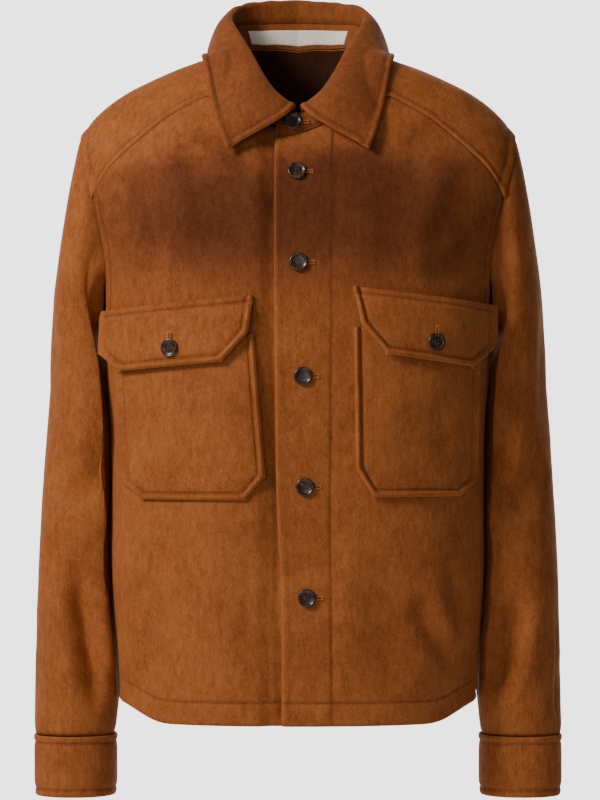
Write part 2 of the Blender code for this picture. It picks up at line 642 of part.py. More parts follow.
def build_stand(wool):
    """The stand runs from its buttoned tab round the neck and ends tucked behind the tab."""
    tucked = np.concatenate([STATIONS[-2::-1], [-0.35, -0.70]])
    runs = [(LEFT, station, 9.0) for station in (-0.85, -0.45, *STATIONS)]
    runs += [(RIGHT, station, station) for station in tucked]
    foot, top = [], []
    for sign, station, place in runs:
        step = (STAND_WALL + TUCK_GAP) * smoothstep((2.0 - place) / 1.2)
        low, high = stand_rows(np.array([station]), sign, np.array([step]))
        foot.append(low[0])
        top.append(high[0])
    foot, top = np.array(foot), np.array(top)
    middle = np.stack([foot + (top - foot) * share for share in (0.0, 0.5, 1.0)])
    normal = outward_in_plan(middle)
    cloth("collar_stand", middle + normal * STAND_WALL / 2, middle - normal * STAND_WALL / 2, wool)


def collar_path(stations):
    """The fall of one half: rows over the roll to the outer edge, one column per station."""
    read = {name: COLLAR.read(name, stations) for name in
            ("roll_x", "roll_y", "roll_z", "rise", "edge_x", "edge_y", "edge_z")}
    roll = np.stack([read["roll_x"], read["roll_y"], read["roll_z"]], axis=-1)
    edge = np.stack([read["edge_x"], read["edge_y"], read["edge_z"]], axis=-1)
    out = outward_in_plan(roll)
    up = np.array([0, 0, 1.0])
    radius = roll_radius(stations)[:, None]
    rows = [roll - out * radius - up * (read["rise"][:, None] + ROLL_LEG)]
    for degrees in (180, 135, 95, 60):
        angle = math.radians(degrees)
        rows.append(roll + out * radius * math.cos(angle) + up * radius * (math.sin(angle) - 1))
    shoulder = rows[-1]
    reach = np.linalg.norm(edge - shoulder, axis=1, keepdims=True)
    drop = 0.10 + 0.25 * smoothstep(np.abs(stations - 1.6) / 1.6)[:, None]
    first = shoulder + unit(out * 0.87 - up * drop + unit(edge - shoulder) * 0.15) * reach * 0.36
    last = edge - unit(edge - shoulder) * reach * 0.33
    for t in (0.2, 0.4, 0.6, 0.8, 1.0):
        rows.append((1 - t) ** 3 * shoulder + 3 * (1 - t) ** 2 * t * first
                    + 3 * (1 - t) * t * t * last + t ** 3 * edge)
    return np.stack(rows)


def lifted(points, clearance):
    """Points pushed away from the torso form until they are a clearance outside it."""
    moved = points.copy()
    for side in (FRONT, BACK):
        round_x, round_z = SHARPNESS[side]
        x, away, up = np.abs(points[..., 0]), points[..., 1] - MID_Y, points[..., 2] - FORM_BASE
        spread = np.clip(1 - (x / TORSO.read("width", points[..., 2])) ** round_x, 1e-6, 1) ** (1 / round_x)
        out = np.abs(away) / (TORSO.read(side_name(side), points[..., 2]) * spread)
        climb = up / (RIDGE.read(side_name(side), x) - FORM_BASE)
        ratio = (out ** round_z + climb ** round_z) ** (1 / round_z)
        reach = np.hypot(away, up)
        grow = np.maximum(1, 1 / ratio + clearance / reach)
        here = (away < 0) if side == FRONT else (away >= 0)
        moved[..., 1] = np.where(here, MID_Y + away * grow, moved[..., 1])
        moved[..., 2] = np.where(here, FORM_BASE + up * grow, moved[..., 2])
    return moved


def build_fall(wool):
    """The collar's turned-over leaf, clear of the shoulders that it lies on."""
    left = collar_path(STATIONS)
    mirrored = left[:, ::-1] * np.array([-1, 1, 1])
    path = np.concatenate([left, mirrored[:, 1:]], axis=1)
    path[4:] = lifted(path[4:], COLLAR_WALL + 0.0024)
    normal = grid_normal(path)
    around = np.concatenate([STATIONS, STATIONS[-2::-1]])
    steep = smoothstep(around / 0.6) * smoothstep((4.0 - around) / 1.5)     # a thinner roll where it climbs fast
    rolled = np.array([1.0, 1, 1, 1, 0.6, 0.2] + [0.0] * (len(path) - 6))
    wall = COLLAR_WALL - 0.0012 * rolled[:, None] * steep
    cloth("collar_fall", path, path - normal * wall[..., None], wool)


def grid_normal(points):
    """Directions square to a grid of points, on the side that its rows and columns give."""
    along, around = np.gradient(points, axis=0), np.gradient(points, axis=1)
    return unit(np.cross(along, around))


# ---------------------------------------------------------------- pockets and flaps
def crowded(columns):
    """Fractions across a patch that crowd towards its outer side, where the torso turns away."""
    share = np.linspace(0, 1, columns + 1)
    return 1 - (1 - share) ** 1.35


def pocket_grid(sizes, columns=12):
    """Distance across and height of a patch pocket's points, with its cut-off lower corners."""
    levels = np.concatenate([[0.0, 0.35, 0.7], np.linspace(1, 2, 7)])
    shares = crowded(columns)
    across, height = [], []
    for level in levels:
        if level <= 1:
            inner = sizes["inner_low"] + (1 - level) * corner_cut(sizes)
            outer = sizes["outer_low"] - (1 - level) * corner_cut(sizes)
            low = sizes["bottom"] + level * (sizes["low_inner_z"] - sizes["bottom"])
            high = sizes["bottom"] + level * (sizes["low_outer_z"] - sizes["bottom"])
        else:
            up = level - 1
            inner = sizes["inner_low"] + up * (sizes["inner_top"] - sizes["inner_low"])
            outer = sizes["outer_low"] + up * (sizes["outer_top"] - sizes["outer_low"])
            low = sizes["low_inner_z"] + up * (sizes["top"] - sizes["low_inner_z"])
            high = sizes["low_outer_z"] + up * (sizes["top"] - sizes["low_outer_z"])
        across.append(inner + (outer - inner) * shares)
        height.append(low + (high - low) * shares)
    return np.array(across), np.array(height)


def corner_cut(sizes):
    """How far a cut-off lower corner reaches in, with the sign that points to the pocket's outer side."""
    return math.copysign(sizes["chamfer"], sizes["outer_low"] - sizes["inner_low"])


def flap_grid(corners, columns=12):
    """Distance across and height of a flap's points, from its lower edge to its seam."""
    shares = crowded(columns)

    def row(inner, outer):
        return [inner[i] + (outer[i] - inner[i]) * shares for i in range(2)]

    low = row(corners["inner_low"], corners["outer_low"])
    side = row(corners["inner_side"], corners["outer_side"])
    top = row(corners["inner"], corners["outer"])
    rows = [[low[i] + (side[i] - low[i]) * t for i in range(2)] for t in (0.0, 0.35, 0.7)]
    rows += [[side[i] + (top[i] - side[i]) * t for i in range(2)] for t in (0.0, 0.5, 1.0)]
    return np.array([r[0] for r in rows]), np.array([r[1] for r in rows])


def patch_lift(across):
    """Clearance under what lies on a front: it opens a little where the torso turns away."""
    return PATCH_GAP + 0.0006 * smoothstep((np.abs(across) - 0.130) / 0.035)


def build_pockets(wool):
    """Each pocket and flap is made from its front's own points, moved out."""
    for wearer, word in ((LEFT, "left"), (RIGHT, "right")):
        across, height = pocket_grid(POCKETS[wearer])
        points = torso_point(FRONT, across, height)
        folds = fold_height(FOLDS, across, height)
        outer, inner = torso_wall(points, POCKET_WALL, patch_lift(across) + POCKET_WALL, folds)
        cloth("pocket_" + word, outer, inner, wool)
        across, height = flap_grid(FLAPS[wearer])
        points = torso_point(FRONT, across, height)
        folds = fold_height(FOLDS, across, height)
        below = smoothstep((FLAPS[wearer]["inner"][1] - height) / 0.022)
        lift = patch_lift(across) + FLAP_WALL + (POCKET_WALL + patch_lift(across)) * below
        outer, inner = torso_wall(points, FLAP_WALL, lift, folds)
        cloth("flap_" + word, outer, inner, wool)


# ---------------------------------------------------------------- buttons and label
def button(name, centre, facing, horn):
    """A turned button with a raised rim, its back at the centre point."""
    profile = [(0.0, 0.0), (0.55, 0.0), (0.92, 0.25), (1.0, 0.62), (0.90, 1.0), (0.70, 0.86), (0.0, 0.72)]
    mesh = bmesh.new()
    verts = [mesh.verts.new((r * BUTTON_RADIUS, 0, h * BUTTON_THICKNESS)) for r, h in profile]
    edges = [mesh.edges.new(pair) for pair in zip(verts, verts[1:])]
    bmesh.ops.spin(mesh, geom=verts + edges, cent=(0, 0, 0), axis=(0, 0, 1), angle=2 * math.pi,
                   steps=16, use_merge=True)
    bmesh.ops.remove_doubles(mesh, verts=mesh.verts, dist=1e-6)
    bmesh.ops.recalc_face_normals(mesh, faces=mesh.faces)
    made = finished(name, mesh, horn)
    made.rotation_mode = "QUATERNION"
    made.rotation_quaternion = Vector(facing).to_track_quat("Z", "Y")
    made.location = centre
    return made


def build_buttons(horn):
    """Buttons on the fronts, flaps, stand tab and cuffs."""
    for entry in BUTTONS:
        point = torso_point(FRONT, entry["across"], entry["height"])
        normal = torso_normal(point)
        lift = SEAM + float(fold_height(FOLDS, entry["across"], entry["height"]))
        if "flap" in entry["name"]:
            lift += FLAP_WALL + POCKET_WALL + 2 * float(patch_lift(entry["across"]))
        button(entry["name"], point + normal * lift, normal, horn)
    foot, top = stand_rows(np.array([STAND_BUTTON["station"]]), 1, np.array([0.0]))
    rise = unit(top[0] - foot[0])
    normal = unit(np.cross(np.array([1.0, 0, 0]), rise))
    button("button_stand", foot[0] + rise * STAND_BUTTON["up"] + normal * (STAND_WALL / 2 + 2 * SEAM), normal, horn)
    band = cuff_points(0.0, [(CUFF_TOP + CUFF_BOTTOM) / 2])
    index = -3
    normal = unit(np.cross(np.array([0, 0, 1.0]), band[0, index + 1] - band[0, index - 1]))
    for wearer, word in ((LEFT, "left"), (RIGHT, "right")):
        flip = np.array([wearer, 1, 1])
        button("button_cuff_" + word, (band[0, index] + normal * 2 * SEAM) * flip, normal * flip, horn)


def build_label(tape):
    """The label lies inside the stand at the back of the neck."""
    stations = STATIONS[-4:]
    points = []
    for share in (0.15, 0.75):
        row = []
        for way, order in ((1, stations), (-1, stations[-2::-1])):
            for station in order:
                foot, top = stand_rows(np.array([station]), way, np.array([0.0]))
                row.append(foot[0] + (top[0] - foot[0]) * share)
        points.append(row)
    points = np.array(points)
    normal = outward_in_plan(points)
    face = points - normal * (STAND_WALL / 2 + SEAM)
    cloth("neck_label", face, face - normal * LABEL_WALL, tape)


def main():
    for thing in list(bpy.data.objects):
        bpy.data.objects.remove(thing, do_unlink=True)
    wool = material("brushed_wool", (0.32, 0.12, 0.032), 0.85)
    horn = material("dark_horn", (0.03, 0.018, 0.012), 0.35)
    tape = material("woven_tape", (0.70, 0.66, 0.58), 0.8)
    build_torso(wool)
    build_sleeves(wool)
    build_cuffs(wool)
    build_stand(wool)
    build_fall(wool)
    build_pockets(wool)
    build_buttons(horn)
    build_label(tape)


main()
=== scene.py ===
"""Looks of a worn, brushed-wool overshirt jacket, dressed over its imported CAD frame.

Metres, +Z up, the wearer's front towards -Y and the wearer's left at +X. The torso panels
share one form, the sleeves are tubes, and the collar is a leaf swept round the neck. Each
cloth piece is a grid mapped on its form, with folds, puffed edges and stitch troughs as
relief, and rows of real thread stitches laid in the troughs.
"""
import logging
import math
from dataclasses import dataclass, field
from enum import Enum
from typing import Optional, Sequence

import bmesh
import bpy
import numpy as np
from mathutils import Matrix, Vector
from mathutils.noise import noise


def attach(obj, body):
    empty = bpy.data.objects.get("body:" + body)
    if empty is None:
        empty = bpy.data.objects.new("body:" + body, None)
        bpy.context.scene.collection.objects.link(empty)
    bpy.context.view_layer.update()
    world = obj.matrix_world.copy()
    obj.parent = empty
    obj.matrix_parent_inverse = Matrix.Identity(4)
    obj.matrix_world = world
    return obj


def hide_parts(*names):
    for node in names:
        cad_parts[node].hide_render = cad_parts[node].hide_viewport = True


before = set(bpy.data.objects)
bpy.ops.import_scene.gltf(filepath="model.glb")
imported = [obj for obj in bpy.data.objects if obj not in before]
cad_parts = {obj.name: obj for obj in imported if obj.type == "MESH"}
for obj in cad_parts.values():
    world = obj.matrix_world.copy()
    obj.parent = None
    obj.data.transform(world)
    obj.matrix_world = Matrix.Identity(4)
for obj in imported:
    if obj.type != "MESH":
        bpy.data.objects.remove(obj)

LOG = logging.getLogger("overshirt")
Points = np.ndarray
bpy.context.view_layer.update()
CREASE_GAIN = 1.75             # creases are this much stronger than their tables say
CREASE_END = 0.28              # share of a crease's length over which each end fades
SEAM_SHADE_WIDTH = 0.0013           # metres either side of a sewn line where the wool gets painted shade and a groove in its bump


class Side(Enum):
    """The two halves of the torso form."""

    FRONT = -1
    BACK = 1


class Wearer(Enum):
    """The wearer's own left and right; the value is the sign of X."""

    LEFT = 1
    RIGHT = -1


class Held(Enum):
    """How a sheet of cloth keeps its form."""

    DRAPED = "draped"
    HUNG = "hung"
    FOLDED = "folded"
    LAID = "laid"


# ---------------------------------------------------------------- number helpers
class Table:
    """Rows of sizes with named columns, read smoothly along the first column."""

    def __init__(self, columns: str, *rows: Sequence[float]) -> None:
        """Keeps the rows in order of their first value.

        Args:
            columns: the column names, separated by spaces.
            rows: one tuple of numbers for each row.
        """
        names = columns.split()
        data = np.array(sorted(rows), dtype=float)
        self.at = data[:, 0]
        self.columns = {name: data[:, i + 1] for i, name in enumerate(names[1:])}
        self.slopes = {name: self._slopes(values) for name, values in self.columns.items()}

    def _slopes(self, values: Points) -> Points:
        """Returns slopes that keep the curve between its rows, without overshoot."""
        step = np.diff(self.at)
        rise = np.diff(values) / step
        slopes = np.zeros(len(values))
        slopes[0], slopes[-1] = rise[0], rise[-1]
        for i in range(1, len(values) - 1):
            before, after = rise[i - 1], rise[i]
            if before * after > 0:
                slopes[i] = 2 * before * after / (before + after)
        return slopes

    def read(self, name: str, at: Points) -> Points:
        """Reads one column.

        Args:
            name: the column's name.
            at: one place or an array of places along the first column.

        Returns:
            The column's values there.
        """
        at = np.clip(at, self.at[0], self.at[-1])
        i = np.clip(np.searchsorted(self.at, at, side="right") - 1, 0, len(self.at) - 2)
        step = self.at[i + 1] - self.at[i]
        t = (at - self.at[i]) / step
        values, slopes = self.columns[name], self.slopes[name]
        return ((1 + 2 * t) * (1 - t) ** 2 * values[i] + t * (1 - t) ** 2 * step * slopes[i]
                + t * t * (3 - 2 * t) * values[i + 1] - t * t * (1 - t) * step * slopes[i + 1])


def unit(vectors: Points) -> Points:
    """Returns the vectors at length 1."""
    return vectors / np.maximum(np.linalg.norm(vectors, axis=-1, keepdims=True), 1e-12)


def smoothstep(value: Points) -> Points:
    """Returns 0 below 0, 1 above 1, and a soft step between."""
    value = np.clip(value, 0, 1)
    return value * value * (3 - 2 * value)


def bump(value: Points) -> Points:
    """Returns a soft hill of height 1 around 0 that is gone at -1 and 1."""
    return smoothstep(1 - np.abs(value))


def line_distance(points: Points, line: Points) -> tuple[Points, Points]:
    """Distance from places to a line of straight runs.

    Args:
        points: places in metres.
        line: the line's points, one row each.

    Returns:
        The least distance of each place, and how far along the line it is met, from 0 to 1.
    """
    line = np.asarray(line, float)
    runs = np.linalg.norm(np.diff(line, axis=0), axis=1)
    total, passed = max(runs.sum(), 1e-9), 0.0
    best, share = np.full(points.shape[:-1], 1e3), np.zeros(points.shape[:-1])
    for start, end, run in zip(line, line[1:], runs):
        if run < 1e-9:
            continue
        t = np.clip(((points - start) @ (end - start)) / run ** 2, 0, 1)
        away = np.linalg.norm(points - start - t[..., None] * (end - start), axis=-1)
        share = np.where(away < best, (passed + t * run) / total, share)
        best = np.minimum(best, away)
        passed += run
    return best, share


def resampled(line: Points, pitch: float) -> Points:
    """Returns the points of a line at an even pitch in its first three columns, its ends included."""
    line = np.asarray(line, float)
    lengths = np.concatenate([[0], np.cumsum(np.linalg.norm(np.diff(line[:, :3], axis=0), axis=1))])
    count = max(2, int(round(lengths[-1] / pitch)) + 1)
    places = np.linspace(0, lengths[-1], count)
    return np.stack([np.interp(places, lengths, line[:, i]) for i in range(line.shape[1])], axis=1)


def uneven(points: Points, scale: float, seed: float) -> Points:
    """Soft unevenness of cloth, the same for each run.

    Args:
        points: places in metres.
        scale: size of the unevenness in metres.
        seed: moves the pattern, so that two pieces differ.

    Returns:
        Values between about -1 and 1.
    """
    flat = points.reshape(-1, 3) / scale + seed
    return np.array([noise(Vector(p)) for p in flat]).reshape(points.shape[:-1])


# ---------------------------------------------------------------- forms
@dataclass(frozen=True)
class TorsoForm:
    """The form that the fronts, back and yoke are cut from; the CAD panels' outer face."""

    mid_y: float = -0.006
    base: float = -0.26
    underarm: float = -0.275
    shoulder_x: float = 0.2185
    shoulder_z: float = -0.0815
    sharpness: tuple[tuple[float, float], tuple[float, float]] = ((2.4, 2.2), (2.05, 3.0))
    torso: Table = field(default_factory=lambda: Table(
        "height width front back",
        (-0.70, 0.1760, 0.104, 0.085), (-0.65, 0.1785, 0.107, 0.084), (-0.60, 0.1815, 0.109, 0.083),
        (-0.55, 0.1860, 0.109, 0.082), (-0.50, 0.1875, 0.109, 0.082), (-0.44, 0.1870, 0.109, 0.083),
        (-0.38, 0.1880, 0.110, 0.085), (-0.33, 0.1915, 0.110, 0.088), (-0.275, 0.1945, 0.109, 0.092),
        (-0.25, 0.1965, 0.108, 0.094), (-0.20, 0.2065, 0.106, 0.098), (-0.15, 0.2320, 0.100, 0.101),
        (-0.10, 0.2500, 0.093, 0.103), (-0.04, 0.2630, 0.089, 0.104), (0.08, 0.2750, 0.086, 0.105)))
    ridge: Table = field(default_factory=lambda: Table(
        "across front back",
        (0.0, -0.0200, 0.0500), (0.020, -0.0190, 0.0470), (0.040, -0.0150, 0.0370), (0.060, -0.0050, 0.0150),
        (0.072, 0.0010, 0.0010), (0.0815, -0.0010, -0.0010), (0.095, -0.0060, -0.0060),
        (0.120, -0.0150, -0.0150), (0.150, -0.0285, -0.0285), (0.175, -0.0415, -0.0415),
        (0.195, -0.0560, -0.0560), (0.210, -0.0710, -0.0710), (0.2185, -0.0815, -0.0815),
        (0.235, -0.1080, -0.1080), (0.270, -0.1800, -0.1800)))
    armhole: Table = field(default_factory=lambda: Table(
        "height front back",
        (-0.275, 0.1945, 0.1945), (-0.250, 0.1932, 0.1925), (-0.218, 0.1928, 0.1918),
        (-0.190, 0.1965, 0.1935), (-0.163, 0.2020, 0.1980), (-0.143, 0.2065, 0.2025),
        (-0.119, 0.2130, 0.2095), (-0.098, 0.2175, 0.2155), (-0.0815, 0.2185, 0.2185)))
    neck: Table = field(default_factory=lambda: Table(
        "station across turn",
        (-1.0, -0.0276, -47.6), (0.0, 0.0000, -45.5), (1.0, 0.0260, -42.0), (2.0, 0.0450, -37.0),
        (3.0, 0.0605, -28.0), (4.0, 0.0720, 0.0), (5.0, 0.0690, 7.5), (6.0, 0.0555, 19.5),
        (7.0, 0.0320, 31.0), (8.0, 0.0, 35.0)))
    front_seam: Table = field(default_factory=lambda: Table(
        "across height",
        (0.0532, -0.0467), (0.0885, -0.0475), (0.110, -0.0570), (0.130, -0.0685), (0.147, -0.0820),
        (0.166, -0.0980), (0.1865, -0.1175), (0.197, -0.1320), (0.20511, -0.149)))
    free_edge: Table = field(default_factory=lambda: Table(
        "height across",
        (-0.68, -0.0155), (-0.54, -0.0160), (-0.49, -0.0190), (-0.43, -0.0215), (-0.21, -0.0233),
        (-0.08, -0.0225)))

    def name_of(self, side: Side) -> str:
        """Returns the column that holds a side's sizes."""
        return side.name.lower()

    def powers(self, side: Side) -> tuple[float, float]:
        """Returns the roundness across and over the shoulder."""
        return self.sharpness[0 if side is Side.FRONT else 1]

    def depth(self, side: Side, x: Points, z: Points) -> Points:
        """Returns the form's distance from the plane of the side seams."""
        across, over = self.powers(side)
        ridge = self.ridge.read(self.name_of(side), np.abs(x))
        spread = 1 - (np.abs(x) / self.torso.read("width", z)) ** across
        climb = 1 - np.clip((z - self.base) / (ridge - self.base), 0, 2) ** over
        full = self.torso.read(self.name_of(side), z)
        return full * np.sign(spread) * np.abs(spread) ** (1 / across) * np.maximum(climb, 0) ** (1 / over)

    def level(self, point: Points) -> Points:
        """Returns a value above zero outside the form and below zero inside it."""
        x, y, z = point[..., 0], point[..., 1], point[..., 2]
        away = y - self.mid_y
        reach = np.where(away < 0, self.depth(Side.FRONT, x, z), self.depth(Side.BACK, x, z))
        return away ** 2 - np.sign(reach) * reach ** 2

    def normal(self, point: Points) -> Points:
        """Returns the form's outward directions."""
        small = 0.0006
        return unit(np.stack([self.level(point + small * axis) - self.level(point - small * axis)
                              for axis in np.eye(3)], axis=-1))

    def point(self, side: Side, x: Points, z: Points) -> Points:
        """Returns the form's points at distances across and heights."""
        x, z = np.broadcast_arrays(np.asarray(x, float), np.asarray(z, float))
        return np.stack([x, self.mid_y + side.value * self.depth(side, x, z), z], axis=-1)

    def over_ridge(self, x: Points, turn: Points) -> Points:
        """Returns the form's points at angles over the shoulder ridge, the front below zero."""
        angle = np.radians(turn)
        halves = []
        for side in Side:
            across, over = self.powers(side)
            ridge = self.ridge.read(self.name_of(side), np.abs(x))
            height = self.base + (ridge - self.base) * np.cos(angle) ** (2 / over)
            spread = np.maximum(1 - (np.abs(x) / self.torso.read("width", height)) ** across, 0)
            reach = (self.torso.read(self.name_of(side), height) * spread ** (1 / across)
                     * np.abs(np.sin(angle)) ** (2 / over))
            halves.append(np.stack([x, self.mid_y + side.value * reach, height], axis=-1))
        return np.where((angle < 0)[..., None], halves[0], halves[1])

    def turn_of(self, side: Side, x: Points, z: Points) -> Points:
        """Returns the angle over the ridge of points of one side, in degrees."""
        over = self.powers(side)[1]
        ridge = self.ridge.read(self.name_of(side), np.abs(x))
        climb = np.clip((z - self.base) / (ridge - self.base), 0, 1)
        return side.value * np.degrees(np.arccos(climb ** (over / 2)))

    def neckline(self, station: Points) -> Points:
        """Returns neckline points; stations run from the front centre (0) to the back centre (8)."""
        station = np.asarray(station, float)
        return self.over_ridge(self.neck.read("across", station), self.neck.read("turn", station))

    def reach(self, side: Side, z: Points) -> Points:
        """Returns the distance across of the side seam, or of the armhole above the underarm."""
        return np.where(z > self.underarm, self.armhole.read(self.name_of(side), z),
                        self.torso.read("width", z))

    def hem(self, side: Side, x: Points) -> Points:
        """Returns the height of the hem, which rises to the side seams."""
        low, high = (-0.6660, -0.6490) if side is Side.FRONT else (-0.6680, -0.6490)
        edge = self.torso.read("width", high)
        return low + (high - low) * smoothstep((np.abs(x) - 0.120) / (edge - 0.120)) ** 1.5


FORM = TorsoForm()


# ---------------------------------------------------------------- folds
@dataclass(frozen=True)
class Crease:
    """A soft ridge (+) or trough (-) along a line on the cloth, fading at its ends."""

    line: tuple[tuple[float, float, float], ...]
    width: float
    height: float

    def relief(self, points: Points) -> Points:
        """Returns the crease's height at places on the cloth, in metres."""
        away, share = line_distance(points, np.array(self.line))
        fade = smoothstep(share / CREASE_END) * smoothstep((1 - share) / CREASE_END)
        return CREASE_GAIN * self.height * fade * np.exp(-(away / self.width) ** 2)


def on_side(side: Side, places: Sequence[tuple[float, float]], width: float, height: float) -> Crease:
    """Returns a crease on a front or the back, given by distances across and heights."""
    return Crease(tuple(tuple(FORM.point(side, x, z)) for x, z in places), width, height)


# Places across and up along each crease, its width and its height, in metres.
FRONT_CREASES = {
    Wearer.LEFT: [
        ([(0.150, -0.100), (0.128, -0.160), (0.105, -0.215)], 0.017, 0.0025),
        ([(0.108, -0.540), (0.135, -0.580), (0.158, -0.618)], 0.012, -0.0032),
        ([(0.151, -0.500), (0.158, -0.550), (0.160, -0.606)], 0.009, -0.0030),
        ([(0.125, -0.520), (0.146, -0.560), (0.166, -0.600)], 0.011, 0.0022),
        ([(0.165, -0.185), (0.135, -0.205), (0.100, -0.212)], 0.012, 0.0016),
        ([(0.178, -0.215), (0.150, -0.228), (0.120, -0.226)], 0.010, -0.0014),
        ([(0.050, -0.470), (0.052, -0.560), (0.048, -0.640)], 0.016, 0.0013),
        ([(0.088, -0.480), (0.092, -0.560), (0.090, -0.630)], 0.018, -0.0012),
        ([(0.060, -0.130), (0.066, -0.180), (0.070, -0.230)], 0.018, 0.0012),
    ],
    Wearer.RIGHT: [
        ([(-0.132, -0.095), (-0.118, -0.150), (-0.098, -0.205)], 0.017, 0.0032),
        ([(-0.160, -0.120), (-0.146, -0.165), (-0.128, -0.215)], 0.013, -0.0027),
        ([(-0.150, -0.470), (-0.138, -0.540), (-0.120, -0.600)], 0.020, -0.0022),
        ([(-0.178, -0.175), (-0.160, -0.200), (-0.138, -0.222)], 0.010, 0.0016),
        ([(-0.165, -0.500), (-0.163, -0.560), (-0.158, -0.630)], 0.012, 0.0015),
        ([(-0.090, -0.470), (-0.078, -0.540), (-0.072, -0.620)], 0.020, 0.0013),
        ([(-0.045, -0.460), (-0.043, -0.550), (-0.040, -0.640)], 0.014, -0.0010),
        ([(-0.075, -0.125), (-0.060, -0.180), (-0.048, -0.235)], 0.016, -0.0012),
        ([(-0.185, -0.300), (-0.186, -0.380), (-0.180, -0.450)], 0.008, -0.0012),
    ],
}
BACK_CREASES = [
    ([(0.165, -0.170), (0.150, -0.250), (0.140, -0.340)], 0.018, 0.0030),
    ([(0.180, -0.200), (0.168, -0.270), (0.160, -0.350)], 0.011, -0.0026),
    ([(0.120, -0.150), (0.112, -0.240), (0.110, -0.330)], 0.020, -0.0022),
    ([(0.150, -0.430), (0.120, -0.500), (0.085, -0.555)], 0.014, -0.0026),
    ([(0.160, -0.470), (0.130, -0.540), (0.100, -0.600)], 0.014, 0.0022),
    ([(0.060, -0.300), (0.055, -0.450), (0.065, -0.620)], 0.024, 0.0018),
    ([(0.100, -0.380), (0.098, -0.500), (0.104, -0.640)], 0.020, -0.0017),
]


# ---------------------------------------------------------------- meshes
def grid_piece(name: str, points: Points, values: dict[str, Points],
               closed: bool = False) -> bpy.types.Object:
    """One skin of cloth: an operator's grid whose corners are laid on a form.

    Args:
        name: the piece's name.
        points: rows and columns of points; columns x rows gives the outward side.
        values: named numbers for each point, kept as attributes for the material.
        closed: whether the last column falls on the first.

    Returns:
        The new object, with no thickness yet.
    """
    rows, columns = points.shape[:2]
    mesh = bmesh.new()
    bmesh.ops.create_grid(mesh, x_segments=columns - 1, y_segments=rows - 1, size=1.0)
    mesh.verts.ensure_lookup_table()
    layers = {key: mesh.verts.layers.float.new(key) for key in values}
    flat = points.reshape(-1, 3)
    numbers = {key: np.asarray(np.broadcast_to(value, (rows, columns))).reshape(-1) for key,
               value in values.items()}
    for i, vert in enumerate(mesh.verts):
        vert.co = flat[i]
        for key, layer in layers.items():
            vert[layer] = numbers[key][i]
    if closed:
        ends = [vert for i, vert in enumerate(mesh.verts) if i % columns in (0, columns - 1)]
        bmesh.ops.remove_doubles(mesh, verts=ends, dist=1e-5)
    return finished(name, mesh)


def finished(name: str, mesh: bmesh.types.BMesh, smooth: bool = True) -> bpy.types.Object:
    """Turns a bmesh into an object at the origin and returns it."""
    data = bpy.data.meshes.new(name)
    mesh.to_mesh(data)
    mesh.free()
    if smooth:
        data.shade_smooth()
    thing = bpy.data.objects.new(name, data)
    bpy.context.scene.collection.objects.link(thing)
    return thing


def walled(piece: bpy.types.Object, thickness: float, round_edge: float) -> bpy.types.Object:
    """Gives a skin its thickness inwards and rounds the edges all round; returns the piece."""
    wall = piece.modifiers.new("wall", "SOLIDIFY")
    wall.thickness = thickness
    wall.offset = -1.0
    wall.use_rim = True
    wall.material_offset = 1
    edge = piece.modifiers.new("turned_edge", "BEVEL")
    edge.width = round_edge
    edge.segments = 2
    edge.limit_method = "ANGLE"
    edge.angle_limit = math.radians(50)
    edge.harden_normals = False
    return piece


def thread_row(name: str, line: Points, outward: Points, length: float, width: float,
               gap: float, across: bool = False) -> bpy.types.Object:
    """A row of separate thread stitches laid along a line.

    Args:
        name: the piece's name.
        line: points of the row in metres, close together.
        outward: the cloth's outward direction at each point.
        length: length of one stitch in metres.
        width: thickness of the thread in metres.
        gap: pitch from stitch to stitch in metres.
        across: whether the stitches lie across the line, as on a buttonhole.

    Returns:
        The row as one object.
    """
    places = resampled(np.concatenate([line, outward], axis=1), gap)
    way = unit(np.gradient(places[:, :3], axis=0))
    up = unit(places[:, 3:])
    side = unit(np.cross(up, way))
    if across:
        way, side = side, way
    middle = places[:, :3] + up * width * 0.20
    one = bmesh.new()
    bmesh.ops.create_icosphere(one, subdivisions=1, radius=1.0)
    ball = np.array([vert.co for vert in one.verts])
    faces = np.array([[vert.index for vert in face.verts] for face in one.faces])
    one.free()
    axes = np.stack([way * length / 2, side * width / 2, up * width / 2], axis=1)
    verts = middle[:, None] + np.einsum("vk,nkc->nvc", ball, axes)
    step = np.arange(len(places))[:, None, None] * len(ball)
    mesh = bpy.data.meshes.new(name)
    mesh.from_pydata(verts.reshape(-1, 3).tolist(), [], (faces[None] + step).reshape(-1, 3).tolist())
    mesh.shade_smooth()
    row = bpy.data.objects.new(name, mesh)
    bpy.context.scene.collection.objects.link(row)
    return row


def joined(name: str, parts: Sequence[bpy.types.Object]) -> bpy.types.Object:
    """Joins several objects at the origin into one mesh and returns it."""
    mesh = bmesh.new()
    for part in parts:
        mesh.from_mesh(part.data)
        bpy.data.objects.remove(part, do_unlink=True)
    return finished(name, mesh)


# ---------------------------------------------------------------- cloth
@dataclass(frozen=True)
class Seam:
    """A sewn line: a trough sunk into the cloth, with or without a row of thread; the wool paints shade along
    it.
    """

    line: Points
    depth: float = 0.0007
    width: float = 0.0021
    stitched: bool = True


